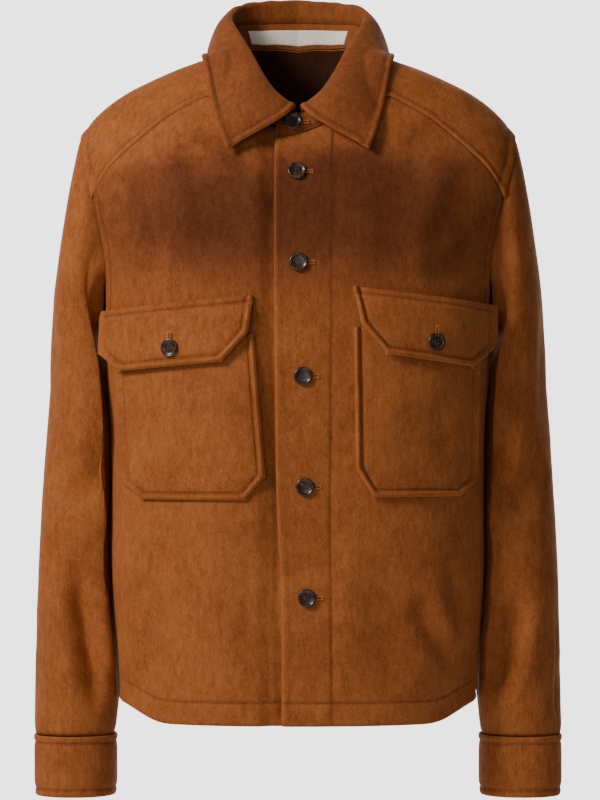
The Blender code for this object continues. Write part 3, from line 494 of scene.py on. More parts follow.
@dataclass
class Cloth:
    """One cloth piece as a grid on its form.

    The points and outward directions are the grid's. Free edges are puffed up to their
    stitch line, lift is the grid's height over its form, and sway its soft unevenness.
    Flat, area and held say how large the piece was cut and how it keeps its form.
    """

    node: str
    points: Points
    normal: Points
    wall: float = 0.0022
    seams: list[Seam] = field(default_factory=list)
    edges: list[Points] = field(default_factory=list)
    edge_inset: float = 0.007
    puff: float = 0.0008
    creases: list[Crease] = field(default_factory=list)
    lift: Points = 0.0
    sway: float = 0.0006
    seed: float = 0.0
    closed: bool = False
    flat: tuple[float, float] = (0.3, 0.6)
    area: Optional[float] = None
    held: Held = Held.HUNG
    slot: str = "wool"
    round_edge: float = 0.0007

    def relief(self, points: Points) -> tuple[Points, Points, Points]:
        """Height of the cloth above its form, and its distances from sewing and edges.

        Args:
            points: places on the form.

        Returns:
            The height, the distance to the nearest sewn line and to the nearest free edge.
        """
        height = self.sway * uneven(points, 0.075, self.seed) + 0.35 * self.sway * uneven(points, 0.028,
                                                                                          self.seed + 7)
        sewn = np.full(points.shape[:-1], 0.05)
        for seam in self.seams:
            away = line_distance(points, seam.line)[0]
            height = height - seam.depth * np.exp(-(away / seam.width) ** 2)
            height = height - 0.55 * seam.depth * np.exp(-(away / (3.2 * seam.width)) ** 2)
            sewn = np.minimum(sewn, away)
        rim = np.full(points.shape[:-1], 0.05)
        for edge in self.edges:
            rim = np.minimum(rim, line_distance(points, edge)[0])
        if self.edges:
            height = height + self.puff * bump((rim - self.edge_inset * 0.5) / (self.edge_inset * 0.62))
            height = height - 0.0005 * smoothstep(1 - rim / 0.0016)
        for crease in self.creases:
            height = height + crease.relief(points)
        return height, sewn, rim

    def build(self) -> bpy.types.Object:
        """Makes the piece with its wall and returns it."""
        height, sewn, rim = self.relief(self.points)
        placed = self.points + self.normal * (height + self.lift)[..., None]
        if self.closed:
            placed[:, -1] = placed[:, 0]
        # Mask along sewn lines: the wool darkens its colour there as painted shade and sinks a groove in its
        # bump.
        seam_shade_and_groove = np.exp(-(sewn / SEAM_SHADE_WIDTH) ** 2)
        piece = grid_piece(self.node + "_cloth", placed, {"seam_shade_and_groove": seam_shade_and_groove, "rim": rim * 1000}, self.closed)
        walled(piece, self.wall, self.round_edge)
        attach(piece, "root")
        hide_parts(self.node)
        return piece

    def declare(self, piece: bpy.types.Object, rests_on: Sequence[str] = ()) -> None:
        """Does nothing: the piece's cut size and what it rests on are not recorded."""

    def threads(self, gap: float = 0.0034, length: float = 0.0023,
                width: float = 0.00034) -> Optional[bpy.types.Object]:
        """Lays thread stitches in the stitched troughs.

        Args:
            gap: pitch of the stitches.
            length: length of one stitch.
            width: thickness of the thread.

        Returns:
            All the piece's stitches as one object, or None where nothing is topstitched.
        """
        rows = []
        flat_points = self.points.reshape(-1, 3)
        flat_normal = self.normal.reshape(-1, 3)
        lifts = np.broadcast_to(np.asarray(self.lift, float), self.points.shape[:-1]).reshape(-1)
        for number, seam in enumerate(self.seams):
            if not seam.stitched:
                continue
            line = resampled(seam.line, 0.0016)
            near = np.array([np.argmin(np.sum((flat_points - place) ** 2, axis=1)) for place in line])
            outward = flat_normal[near]
            height = self.relief(line)[0] + lifts[near]
            rows.append(thread_row(f"{self.node}_row_{number}", line + outward * height[:, None], outward,
                                   length, width, gap))
        if not rows:
            return None
        threads = joined(self.node + "_thread", rows)
        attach(threads, "root")
        return threads


def sewn_up(cloths: Sequence[tuple[Cloth, list[str]]]) -> list[Optional[bpy.types.Object]]:
    """Makes cloth pieces with their thread.

    Args:
        cloths: each cloth with the names of the pieces that it rests on.

    Returns:
        The pieces, each followed by its thread, or by None where it has none.
    """
    made = []
    for cloth, rests in cloths:
        piece = cloth.build()
        cloth.declare(piece, rests)
        made += [piece, cloth.threads()]
        LOG.info("%s: %d x %d points", cloth.node, *cloth.points.shape[:2])
    return made


def turned(wearer: Wearer, *grids: Points) -> tuple[Points, ...]:
    """Returns grids with their columns reversed on the wearer's right, so that they face outwards."""
    return tuple(grid[:, ::-1] for grid in grids) if wearer is Wearer.RIGHT else grids


def fractions(count: int, fine_start: float = 0.0, fine_end: float = 0.0) -> Points:
    """Fractions from 0 to 1 with two extra ones close to each fine end.

    Args:
        count: how many even fractions.
        fine_start: share of the length within which the first extra ones lie, or 0.
        fine_end: the same at the end.

    Returns:
        The sorted fractions.
    """
    even = list(np.linspace(0, 1, count))
    even += [fine_start * 0.35, fine_start] if fine_start else []
    even += [1 - fine_end, 1 - fine_end * 0.35] if fine_end else []
    return np.unique(np.round(np.array(even), 6))


def dense(centre: float, half: float, count: int) -> Points:
    """Returns extra fractions round a sewn line, where the grid has to be fine."""
    return np.linspace(centre - half, centre + half, count)


@dataclass
class Torso:
    """Fronts, back and yoke, cut from the torso form."""

    seam_gap: float = 0.0003
    yoke_start: float = 2.5
    front_corner: float = -0.149
    back_corner: float = -0.128
    back_centre: float = -0.118
    hem_inset: float = 0.0225
    armhole_inset: float = 0.0078

    def back_seam(self, x: Points) -> Points:
        """Returns the height of the back yoke seam."""
        return self.back_centre + (self.back_corner - self.back_centre) * (np.abs(x) / 0.2075) ** 2

    def neck_height(self, x: Points) -> Points:
        """Returns the height of the front neckline at distances across."""
        stations = np.linspace(-1, self.yoke_start, 80)
        return np.interp(x, FORM.neck.read("across", stations), FORM.neckline(stations)[:, 2])

    def front_grid(self, wearer: Wearer) -> tuple[Points, Points, Points]:
        """Returns distances across, heights and lift of a front's grid."""
        rows = np.unique(np.concatenate([fractions(186, 0.003, 0.003), dense(0.043, 0.010, 9)]))
        heights = -0.649 + (self.front_corner + 0.649) * rows
        neck_end = float(FORM.neckline(self.yoke_start)[0])
        start = float(FORM.free_edge.read("across", -0.09)) if wearer is Wearer.LEFT else -0.018
        corner = float(FORM.front_seam.at[-1])
        share = np.unique(np.concatenate([fractions(70, 0.006, 0.004), dense(0.95, 0.028, 9),
                                          dense(0.195, 0.02, 7)]))
        shares = np.sin(share * math.pi / 2) * 0.35 + share * 0.65
        tops = start + (corner - start) * shares
        top_heights = np.where(tops <= neck_end, self.neck_height(tops), FORM.front_seam.read("height", tops))
        reach = FORM.reach(Side.FRONT, heights)[:, None]
        edge = (FORM.free_edge.read("across", heights)[:, None] if wearer is Wearer.LEFT
                else np.full_like(reach, start))
        across = edge + shares[None, :] * (reach - edge)
        hems = FORM.hem(Side.FRONT, across[0])
        height = hems + (top_heights - self.seam_gap - hems) * rows[:, None]
        height[:, -1] = heights
        lift = np.zeros(across.shape)
        if wearer is Wearer.RIGHT:
            lift = -0.0037 * smoothstep((0.042 - across) / 0.016)
        else:
            near = 1 - smoothstep((across - edge) / 0.0022)
            corner_round = 1 - smoothstep(np.hypot((across - edge) / 0.006, (height - hems) / 0.006))
            lift = -0.0004 * near - 0.0006 * corner_round
        return across * wearer.value, height, lift

    def front(self, wearer: Wearer) -> Cloth:
        """Returns one front with its seams, edges and creases."""
        across, height, lift = self.front_grid(wearer)
        points = FORM.point(Side.FRONT, across, height)
        sign = wearer.value
        points[height[:, -1] <= FORM.underarm, -1, 1] = FORM.mid_y - self.seam_gap / 2
        normal = FORM.normal(points)
        outline = [points[0], points[:, 0], points[-1], points[height[:, -1] > -0.262, -1]]
        points, normal, lift = turned(wearer, points, normal, lift)
        hem_x = np.linspace(float(across[0, 0]), sign * 0.176, 40)
        hem = FORM.point(Side.FRONT, hem_x, FORM.hem(Side.FRONT, hem_x) + self.hem_inset)
        arm_z = np.linspace(-0.262, self.front_corner, 24)
        arm_x = sign * (FORM.reach(Side.FRONT, arm_z) - self.armhole_inset * 0.86)
        armhole = FORM.point(Side.FRONT, arm_x, arm_z)
        seams = [Seam(hem), Seam(armhole), Seam(outline[2], 0.0003, 0.0036, stitched=False),
                 Seam(outline[3], 0.0010, 0.0030, stitched=False)]
        if wearer is Wearer.RIGHT:
            # A dent on the right front under the left front's free edge; the wool paints shade along it, as
            # along every sewn line, in place of the shadow that the edge casts.
            edge_x, edge_z = np.array([-0.0228, -0.0226, -0.0205, -0.0165]), np.array([-0.150, -0.330, -0.500,
                                                                                       -0.655])
            seams.append(Seam(FORM.point(Side.FRONT, edge_x, edge_z), 0.0020, 0.0045, stitched=False))
        edges = [outline[0]]
        if wearer is Wearer.LEFT:
            placket_z = np.linspace(-0.085, -0.6655, 40)
            placket_x = np.interp(placket_z, [-0.6655, -0.45, -0.2, -0.085], [0.0335, 0.0315, 0.0345, 0.0350])
            seams.append(Seam(FORM.point(Side.FRONT, placket_x, placket_z), 0.0005, 0.0026))
            edges.append(outline[1])
        return Cloth("front_left" if sign > 0 else "front_right", points, normal, seams=seams, edges=edges,
                     edge_inset=0.0070, puff=0.0010, lift=lift, seed=3.1 * sign,
                     creases=[on_side(Side.FRONT, *crease) for crease in FRONT_CREASES[wearer]],
                     flat=(0.27, 0.63), area=0.135 if sign > 0 else 0.125)

    def back(self) -> Cloth:
        """Returns the back with its hem, armholes and hanging folds."""
        rows = np.unique(np.concatenate([fractions(176, 0.003, 0.003), dense(0.041, 0.010, 9)]))
        heights = -0.649 + (self.back_corner + 0.649) * rows
        share = np.unique(np.concatenate([np.linspace(-1, 1, 126), dense(0.95, 0.028, 8),
                                          dense(-0.95, 0.028, 8)]))
        shares = np.sin(share * math.pi / 2) * 0.35 + share * 0.65
        across = shares[None, :] * FORM.reach(Side.BACK, heights)[:, None]
        hems = FORM.hem(Side.BACK, across[0])
        height = hems + (self.back_seam(across[-1]) - self.seam_gap - hems) * rows[:, None]
        height[:, 0] = height[:, -1] = heights
        points = FORM.point(Side.BACK, across, height)
        below = heights <= FORM.underarm
        points[below, 0, 1] = points[below, -1, 1] = FORM.mid_y + self.seam_gap / 2
        points, height = points[:, ::-1], height[:, ::-1]
        normal = FORM.normal(points)
        hem_x = np.linspace(-0.176, 0.176, 60)
        seams = [Seam(FORM.point(Side.BACK, hem_x, FORM.hem(Side.BACK, hem_x) + self.hem_inset)),
                 Seam(points[-1], 0.0011, 0.0036, stitched=False)]
        for sign in (1, -1):
            arm_z = np.linspace(-0.262, self.back_corner, 24)
            arm_x = sign * (FORM.reach(Side.BACK, arm_z) - self.armhole_inset * 0.86)
            seams.append(Seam(FORM.point(Side.BACK, arm_x, arm_z)))
        creases = []
        for sign, more in ((1, 1.0), (-1, 0.85)):
            creases += [on_side(Side.BACK, [(sign * x, z) for x, z in places], width, rise * more)
                        for places, width, rise in BACK_CREASES]
        return Cloth("back", points, normal, seams=seams, edges=[points[0]], edge_inset=0.007, puff=0.0003,
                     creases=creases, seed=11.0, flat=(0.47, 0.56), area=0.235)

    def yoke(self) -> Cloth:
        """Returns the yoke from its front seams over the shoulders to the back seam."""
        columns = fractions(54, 0.008, 0.008)
        columns = np.sin(columns * math.pi / 2) * 0.35 + columns * 0.65
        stations = np.linspace(self.yoke_start, 8.0, 74)
        stations = np.unique(np.concatenate([stations, self.yoke_start + np.array([0.02, 0.05, 0.11, 0.17])]))
        neck_end, corner = float(FORM.neckline(self.yoke_start)[0]), float(FORM.front_seam.at[-1])
        seam_x = neck_end + (corner - neck_end) * columns
        seam_turn = FORM.turn_of(Side.FRONT, seam_x, FORM.front_seam.read("height", seam_x) + self.seam_gap)
        front = self.front_corner + (FORM.shoulder_z
                                     - self.front_corner) * np.sin(np.linspace(0, math.pi / 2, 40))
        back = self.back_corner + (FORM.shoulder_z
                                   - self.back_corner) * np.sin(np.linspace(0, math.pi / 2, 40))
        back_x = np.linspace(0.2075, 0.0, 40)[1:]
        outer_x = np.concatenate([FORM.reach(Side.FRONT, front), FORM.reach(Side.BACK, back[-2::-1]), back_x])
        outer_turn = np.concatenate([FORM.turn_of(Side.FRONT, FORM.reach(Side.FRONT, front), front),
                                     FORM.turn_of(Side.BACK, FORM.reach(Side.BACK, back[-2::-1]),
                                                  back[-2::-1]),
                                     FORM.turn_of(Side.BACK, back_x, self.back_seam(back_x) + self.seam_gap)])
        outer_turn[len(front) - 1] = 0.0
        marks = np.concatenate([np.linspace(2.5, 4.0, 40), np.linspace(4.0, 5.2, 40)[1:],
                                np.linspace(5.2, 8.0, 40)[1:]])
        outer_x, outer_turn = np.interp(stations, marks, outer_x), np.interp(stations, marks, outer_turn)
        inner_x, inner_turn = FORM.neck.read("across", stations), FORM.neck.read("turn", stations)
        across = inner_x[:, None] + (outer_x - inner_x)[:, None] * columns
        turn = inner_turn[:, None] + (outer_turn - inner_turn)[:, None] * columns
        across[0], turn[0] = seam_x, seam_turn
        soften = np.exp(-(stations[1:] - stations[0]) / 0.32)[:, None]
        straight = across[0][None, :] - (inner_x[0] + (outer_x[0] - inner_x[0]) * columns)[None, :]
        bowed = turn[0][None, :] - (inner_turn[0] + (outer_turn[0] - inner_turn[0]) * columns)[None, :]
        across[1:] += straight * soften
        turn[1:] += bowed * soften
        across = np.concatenate([across, -across[-2::-1]])
        turn = np.concatenate([turn, turn[-2::-1]])
        points = FORM.over_ridge(across, turn)
        normal = FORM.normal(points)
        seams, edges = [], [points[0, 8:], points[-1, 8:]]
        for line in (points[0], points[-1]):
            inset = line + np.array([0.0, 0.0, 1.0]) * 0.0074
            inset = self.on_form(inset, normal[0] if line is points[0] else normal[-1])
            seams.append(Seam(inset[8:-5], 0.0009, 0.0020))
        back_line_x = np.linspace(-0.195, 0.195, 90)
        back_line = FORM.over_ridge(back_line_x, FORM.turn_of(Side.BACK, back_line_x,
                                                              self.back_seam(back_line_x) + 0.0074))
        back_edge = FORM.over_ridge(back_line_x, FORM.turn_of(Side.BACK, back_line_x,
                                                              self.back_seam(back_line_x) + 0.0004))
        seams.append(Seam(back_line, 0.0009, 0.0020))
        edges.append(back_edge)
        for sign in (1, -1):
            rows = []
            for height in np.linspace(self.front_corner + 0.008, FORM.shoulder_z - 0.002, 16):
                reach = float(FORM.reach(Side.FRONT, height)) - self.armhole_inset
                rows.append(FORM.point(Side.FRONT, sign * reach, height))
            rows.append(FORM.over_ridge(np.array(sign * (FORM.shoulder_x - self.armhole_inset)),
                                        np.array(0.0)))
            for height in np.linspace(FORM.shoulder_z - 0.002, self.back_corner + 0.004, 14):
                reach = float(FORM.reach(Side.BACK, height)) - self.armhole_inset
                rows.append(FORM.point(Side.BACK, sign * reach, height))
            seams.append(Seam(np.array(rows), 0.0008, 0.0021))
        creases = []
        for sign in (1, -1):
            for across_at, turn_at, rise in (((0.10, 0.14, 0.18), (-22.0, -20.0, -18.0), 0.0012),
                                             ((0.09, 0.13, 0.17), (28.0, 27.0, 25.0), -0.0016)):
                ridge = FORM.over_ridge(sign * np.array(across_at), np.array(turn_at))
                creases.append(Crease(tuple(map(tuple, ridge)), 0.016, rise))
        return Cloth("yoke", points, normal, seams=seams, edges=edges, edge_inset=0.0074, puff=0.0009,
                     creases=creases, seed=23.0, flat=(0.46, 0.34), area=0.105, held=Held.DRAPED)

    def on_form(self, points: Points, normal: Points) -> Points:
        """Returns points pulled onto the form along given directions."""
        points = points.copy()
        for _ in range(8):
            level = FORM.level(points)
            slope = (FORM.level(points + normal * 0.001) - level) / 0.001
            points = points - normal * np.clip(level / np.where(np.abs(slope) < 1e-6, 1e-6, slope), -0.01,
                                               0.01)[..., None]
        return points

    def build(self) -> list[bpy.types.Object]:
        """Makes the four panels with their thread; returns the pieces."""
        return sewn_up([(self.front(Wearer.LEFT), []), (self.front(Wearer.RIGHT), []), (self.back(), []),
                        (self.yoke(), [])])


# ---------------------------------------------------------------- sleeves and cuffs
@dataclass
class Arm:
    """One sleeve with its cuff; the sizes are the wearer's left arm, mirrored for the right."""

    wearer: Wearer
    bicep_z: float = -0.335
    cuff_top: float = -0.6840
    cuff_bottom: float = -0.7455
    gap: float = 0.0028
    gap_front: float = 0.0095
    cuff_lap: float = math.radians(34)
    cuff_start: float = math.radians(-26)
    wall: float = 0.0022
    around: int = 118
    table: Table = field(default_factory=lambda: Table(
        "height outer inner front back",
        (-0.335, 0.2520, 0.1620, -0.040, 0.080), (-0.380, 0.2555, 0.1570, -0.039, 0.078),
        (-0.430, 0.2590, 0.1560, -0.039, 0.072), (-0.490, 0.2620, 0.1600, -0.039, 0.064),
        (-0.550, 0.2640, 0.1680, -0.039, 0.055), (-0.620, 0.2655, 0.1770, -0.039, 0.045),
        (-0.684, 0.2660, 0.1835, -0.039, 0.036)))

    def word(self) -> str:
        """Returns left or right."""
        return self.wearer.name.lower()

    def oval(self, height: float, turn: Points) -> Points:
        """Returns points of the sleeve's cross-section at a height."""
        outer, inner, front, back = (float(self.table.read(name, height))
                                     for name in ("outer", "inner", "front", "back"))
        cosine, sine = np.cos(turn), np.sin(turn)
        x = (outer + inner) / 2 + (outer - inner) / 2 * np.sign(cosine) * np.abs(cosine) ** 0.92
        y = (front + back) / 2 + (front - back) / 2 * np.sign(sine) * np.abs(sine) ** 0.92
        return np.stack([x, y, np.full_like(x, height)], axis=-1)

    def clear(self, points: Points, gap: float) -> Points:
        """Returns points moved sideways until they are clear of the torso's side."""
        moved = points.copy()
        x, y, z = points[..., 0], points[..., 1], points[..., 2]
        spare = gap + (self.gap_front - self.gap) * gap / self.gap * smoothstep((FORM.mid_y - y) / 0.030)
        for side in Side:
            here = (y < FORM.mid_y) if side is Side.FRONT else (y >= FORM.mid_y)
            full = FORM.torso.read(FORM.name_of(side), z)
            power = FORM.powers(side)[0]
            share = np.clip(1 - (np.abs(y - FORM.mid_y) / (full + spare)) ** power, 0, 1) ** (1 / power)
            limit = np.minimum((FORM.torso.read("width", z) + spare) * share, FORM.reach(side, z) + spare)
            moved[..., 0] = np.where(here & (x < limit) & (z > -0.668), limit, moved[..., 0])
        return moved

    def armhole(self) -> Points:
        """Returns the armhole from the shoulder point down the front and up the back."""
        halves = []
        for side, corner, rows in ((Side.FRONT, -0.149, (5, 7)), (Side.BACK, -0.128, (4, 8))):
            panel = FORM.underarm + (corner - FORM.underarm) * np.linspace(0, 1, rows[1] + 1)[1:] ** 1.25
            yoke = corner + (FORM.shoulder_z - corner) * np.sin(np.linspace(0, math.pi / 2, rows[0] + 1))
            heights = np.concatenate([panel, yoke[1:]])[::-1]
            steps = np.linspace(0, len(heights) - 1, (len(heights) - 1) * 5 + 1)
            heights = np.interp(steps, np.arange(len(heights)), heights)
            line = FORM.point(side, FORM.reach(side, heights), heights)
            line[0] = (FORM.shoulder_x, FORM.mid_y, FORM.shoulder_z)
            low = np.array([float(FORM.torso.read("width", FORM.underarm)), FORM.mid_y, FORM.underarm])
            ends = [line[-1] + (low - line[-1]) * t for t in (0.2, 0.4, 0.6, 0.8, 1.0)]
            halves.append(np.concatenate([line, ends]))
        return np.concatenate([halves[0][:-1], halves[1][::-1]])

    def outward(self, hole: Points, normal: Points) -> Points:
        """Returns, at each armhole point, the way in the cloth that leads off the torso."""
        tangent = unit(np.roll(hole[:-1], -1, axis=0) - np.roll(hole[:-1], 1, axis=0))
        tangent = np.concatenate([tangent, tangent[:1]])
        way = unit(np.cross(tangent, normal))
        low = smoothstep((FORM.shoulder_z - hole[:, 2]) / (FORM.shoulder_z - FORM.underarm) * 2 - 1)
        away = way[:, 0] * (1 - low) + way[:, 2] * low
        return way * np.where(away < 0, -1, 1)[:, None]

    def points(self) -> tuple[Points, Points]:
        """Returns the sleeve's grid and its outward directions, for the wearer's left."""
        hole = self.armhole()
        count = len(hole) - 1
        start = hole + self.outward(hole, FORM.normal(hole)) * 0.0003
        turn = np.linspace(0, 2 * math.pi, count + 1)
        bicep = self.clear(self.oval(self.bicep_z, turn), self.gap)
        under = (1 - np.cos(turn)) / 2
        heading = unit(np.stack([0.21 + 0.55 * under, np.zeros_like(turn), -0.97 + 0.40 * under], axis=-1))
        reach = np.linalg.norm(bicep - start, axis=1, keepdims=True)
        rings = []
        for t in np.concatenate([[0.0, 0.010, 0.03], np.linspace(0.05, 1.0, 58)]):
            first, last = start + heading * reach * 0.36, bicep + np.array([0, 0, 1]) * reach * 0.34
            ring = ((1 - t) ** 3 * start + 3 * (1 - t) ** 2 * t * first + 3 * (1 - t) * t * t * last
                    + t ** 3 * bicep)
            rings.append(self.clear(ring, self.gap * min(1.0, 2.5 * t)) if t else ring)
        for height in np.linspace(self.bicep_z, self.cuff_top + 0.0003, 118)[1:]:
            rings.append(self.clear(self.oval(height, turn), self.gap))
        grid = np.stack(rings)
        around = np.empty_like(grid)
        around[:, 1:-1] = grid[:, 2:] - grid[:, :-2]
        around[:, 0] = around[:, -1] = grid[:, 1] - grid[:, -2]
        normal = unit(np.cross(around, np.gradient(grid, axis=0)))
        root = FORM.normal(hole)
        blend = (np.exp(-np.arange(len(grid)) / 4.0)[:, None]
                 * (1 - smoothstep((under - 0.75) / 0.2))[None, :])[..., None]
        return grid, unit(normal + (root[None] - normal) * blend)

    def place(self, degrees: float, height: float) -> tuple[float, float, float]:
        """Returns a place on the sleeve at a turn from its outer side to the front, and a height."""
        return tuple(self.oval(height, np.array([math.radians(degrees)]))[0]
                     * np.array([self.wearer.value, 1, 1]))

    def creases(self) -> list[Crease]:
        """Returns the sleeve's folds: drags at the head, breaks at the elbow, a fold down the front."""
        def fold(places: Sequence[tuple[float, float]], width: float, height: float) -> Crease:
            """Returns a crease through places given as turn and height."""
            return Crease(tuple(self.place(*spot) for spot in places), width, height)

        shared = [fold([(130, -0.400), (90, -0.430), (50, -0.455)], 0.014, -0.0018),
                  fold([(130, -0.440), (100, -0.475), (60, -0.490)], 0.012, 0.0015),
                  fold([(215, -0.385), (250, -0.420), (290, -0.440)], 0.015, -0.0034),
                  fold([(200, -0.430), (245, -0.465), (285, -0.480)], 0.013, 0.0028),
                  fold([(330, -0.330), (300, -0.400), (270, -0.470)], 0.018, 0.0026),
                  fold([(240, -0.520), (265, -0.570), (290, -0.610)], 0.014, -0.0030),
                  fold([(225, -0.560), (250, -0.610), (275, -0.650)], 0.013, 0.0024),
                  fold([(20, -0.240), (35, -0.320), (30, -0.400)], 0.014, -0.0014),
                  fold([(75, -0.350), (80, -0.400), (95, -0.450)], 0.013, 0.0018)]
        if self.wearer is Wearer.RIGHT:
            shared += [fold([(78, -0.500), (92, -0.560), (112, -0.625), (128, -0.668)], 0.0105, -0.0062),
                       fold([(58, -0.520), (70, -0.590), (92, -0.655)], 0.013, 0.0030),
                       fold([(112, -0.520), (128, -0.580), (140, -0.640)], 0.012, 0.0026),
                       fold([(20, -0.560), (28, -0.620), (34, -0.672)], 0.014, -0.0018),
                       fold([(40, -0.400), (70, -0.430), (100, -0.450)], 0.016, -0.0026)]
        else:
            shared += [fold([(85, -0.535), (105, -0.590), (130, -0.650)], 0.0110, -0.0060),
                       fold([(60, -0.545), (82, -0.610), (100, -0.660)], 0.013, 0.0030),
                       fold([(118, -0.500), (135, -0.560), (148, -0.620)], 0.012, 0.0024),
                       fold([(30, -0.410), (62, -0.435), (95, -0.455)], 0.016, -0.0028),
                       fold([(15, -0.600), (25, -0.640), (35, -0.672)], 0.012, -0.0016)]
        return shared

    def sleeve(self) -> Cloth:
        """Returns the sleeve with its seams and folds."""
        grid, normal = self.points()
        flip = np.array([self.wearer.value, 1, 1])
        grid, normal = turned(self.wearer, grid * flip, normal * flip)
        seams = [Seam(grid[0], 0.0012, 0.0034, stitched=False),
                 Seam(grid[-1], 0.0010, 0.0026, stitched=False)]
        if self.wearer is Wearer.LEFT:
            slit = [self.place(28, height) for height in np.linspace(-0.578, -0.682, 20)]
            seams.append(Seam(np.array(slit), 0.0007, 0.0018, stitched=False))
        under = np.array([self.place(183, height) for height in np.linspace(-0.36, -0.682, 30)])
        seams.append(Seam(under, 0.0009, 0.0022, stitched=False))
        return Cloth("sleeve_" + self.word(), grid, normal, self.wall, seams=seams, creases=self.creases(),
                     sway=0.0007, seed=31.0 + 5 * self.wearer.value, closed=True, flat=(0.44, 0.60),
                     area=0.165)

    def cuff_row(self, heights: Points, sweep: Points) -> Points:
        """Returns the cuff's points for the wearer's left, at heights and places along the band."""
        turn = self.cuff_start - self.cuff_lap + sweep
        under = 1 - smoothstep(sweep / (2 * self.cuff_lap) - 0.45)
        outer, inner, front, back = (float(self.table.read(name, self.cuff_top))
                                     for name in ("outer", "inner", "front", "back"))
        narrow = 0.0015 * smoothstep((self.cuff_bottom + 0.010 - heights[:, None]) / 0.010)
        inset = (self.wall + 0.0006) * under[None, :] + narrow
        cosine, sine = np.cos(turn)[None, :], np.sin(turn)[None, :]
        half_x, half_y = (outer - inner) / 2 + 0.0012 - inset, (back - front) / 2 + 0.0012 - inset
        x = (outer + inner) / 2 + half_x * np.sign(cosine) * np.abs(cosine) ** 0.92
        y = (front + back) / 2 - half_y * np.sign(sine) * np.abs(sine) ** 0.92
        return np.stack([x, y, np.broadcast_to(heights[:, None], x.shape)], axis=-1)

    def cuff(self) -> Cloth:
        """Returns the cuff: a band of two layers, edge-stitched all round, with a lapped end."""
        sweep = np.linspace(0, 2 * math.pi + self.cuff_lap, 126)
        heights = self.cuff_bottom + (self.cuff_top - 0.0003 - self.cuff_bottom) * fractions(26, 0.02, 0.02)
        grid = self.cuff_row(heights, sweep)
        around, along = np.gradient(grid, axis=1), np.gradient(grid, axis=0)
        normal = unit(np.cross(around, along))
        way = np.sign(np.mean(np.sum(normal * (grid - grid.mean(axis=(0, 1))) * np.array([1, 1, 0]),
                                     axis=-1)))
        normal = normal * way
        flip = np.array([self.wearer.value, 1, 1])
        grid, normal = turned(self.wearer, grid * flip, normal * flip)
        if way < 0:
            grid, normal = grid[:, ::-1], normal[:, ::-1]
        low = int(np.argmin(np.abs(heights - (self.cuff_bottom + 0.0068))))
        high = int(np.argmin(np.abs(heights - (self.cuff_top - 0.0070))))
        free = -1 if (self.wearer is Wearer.LEFT) == (way > 0) else 0
        inset = -5 if free == -1 else 4
        first, last = (0, inset + 1) if free == -1 else (inset, None)
        seams = [Seam(grid[low, first:last], 0.0009, 0.0020), Seam(grid[high, first:last], 0.0007, 0.0018),
                 Seam(grid[low:high + 1, inset], 0.0008, 0.0018)]
        return Cloth("cuff_" + self.word(), grid, normal, self.wall, seams=seams,
                     edges=[grid[0], grid[-1], grid[:, free]], edge_inset=0.0070, puff=0.0007, sway=0.0004,
                     seed=47.0 + self.wearer.value, flat=(0.28, 0.062), held=Held.FOLDED)

    def build(self) -> list[bpy.types.Object]:
        """Makes the sleeve and the cuff; returns the pieces."""
        return sewn_up([(self.sleeve(), ["yoke_cloth"]), (self.cuff(), [f"sleeve_{self.word()}_cloth"])])


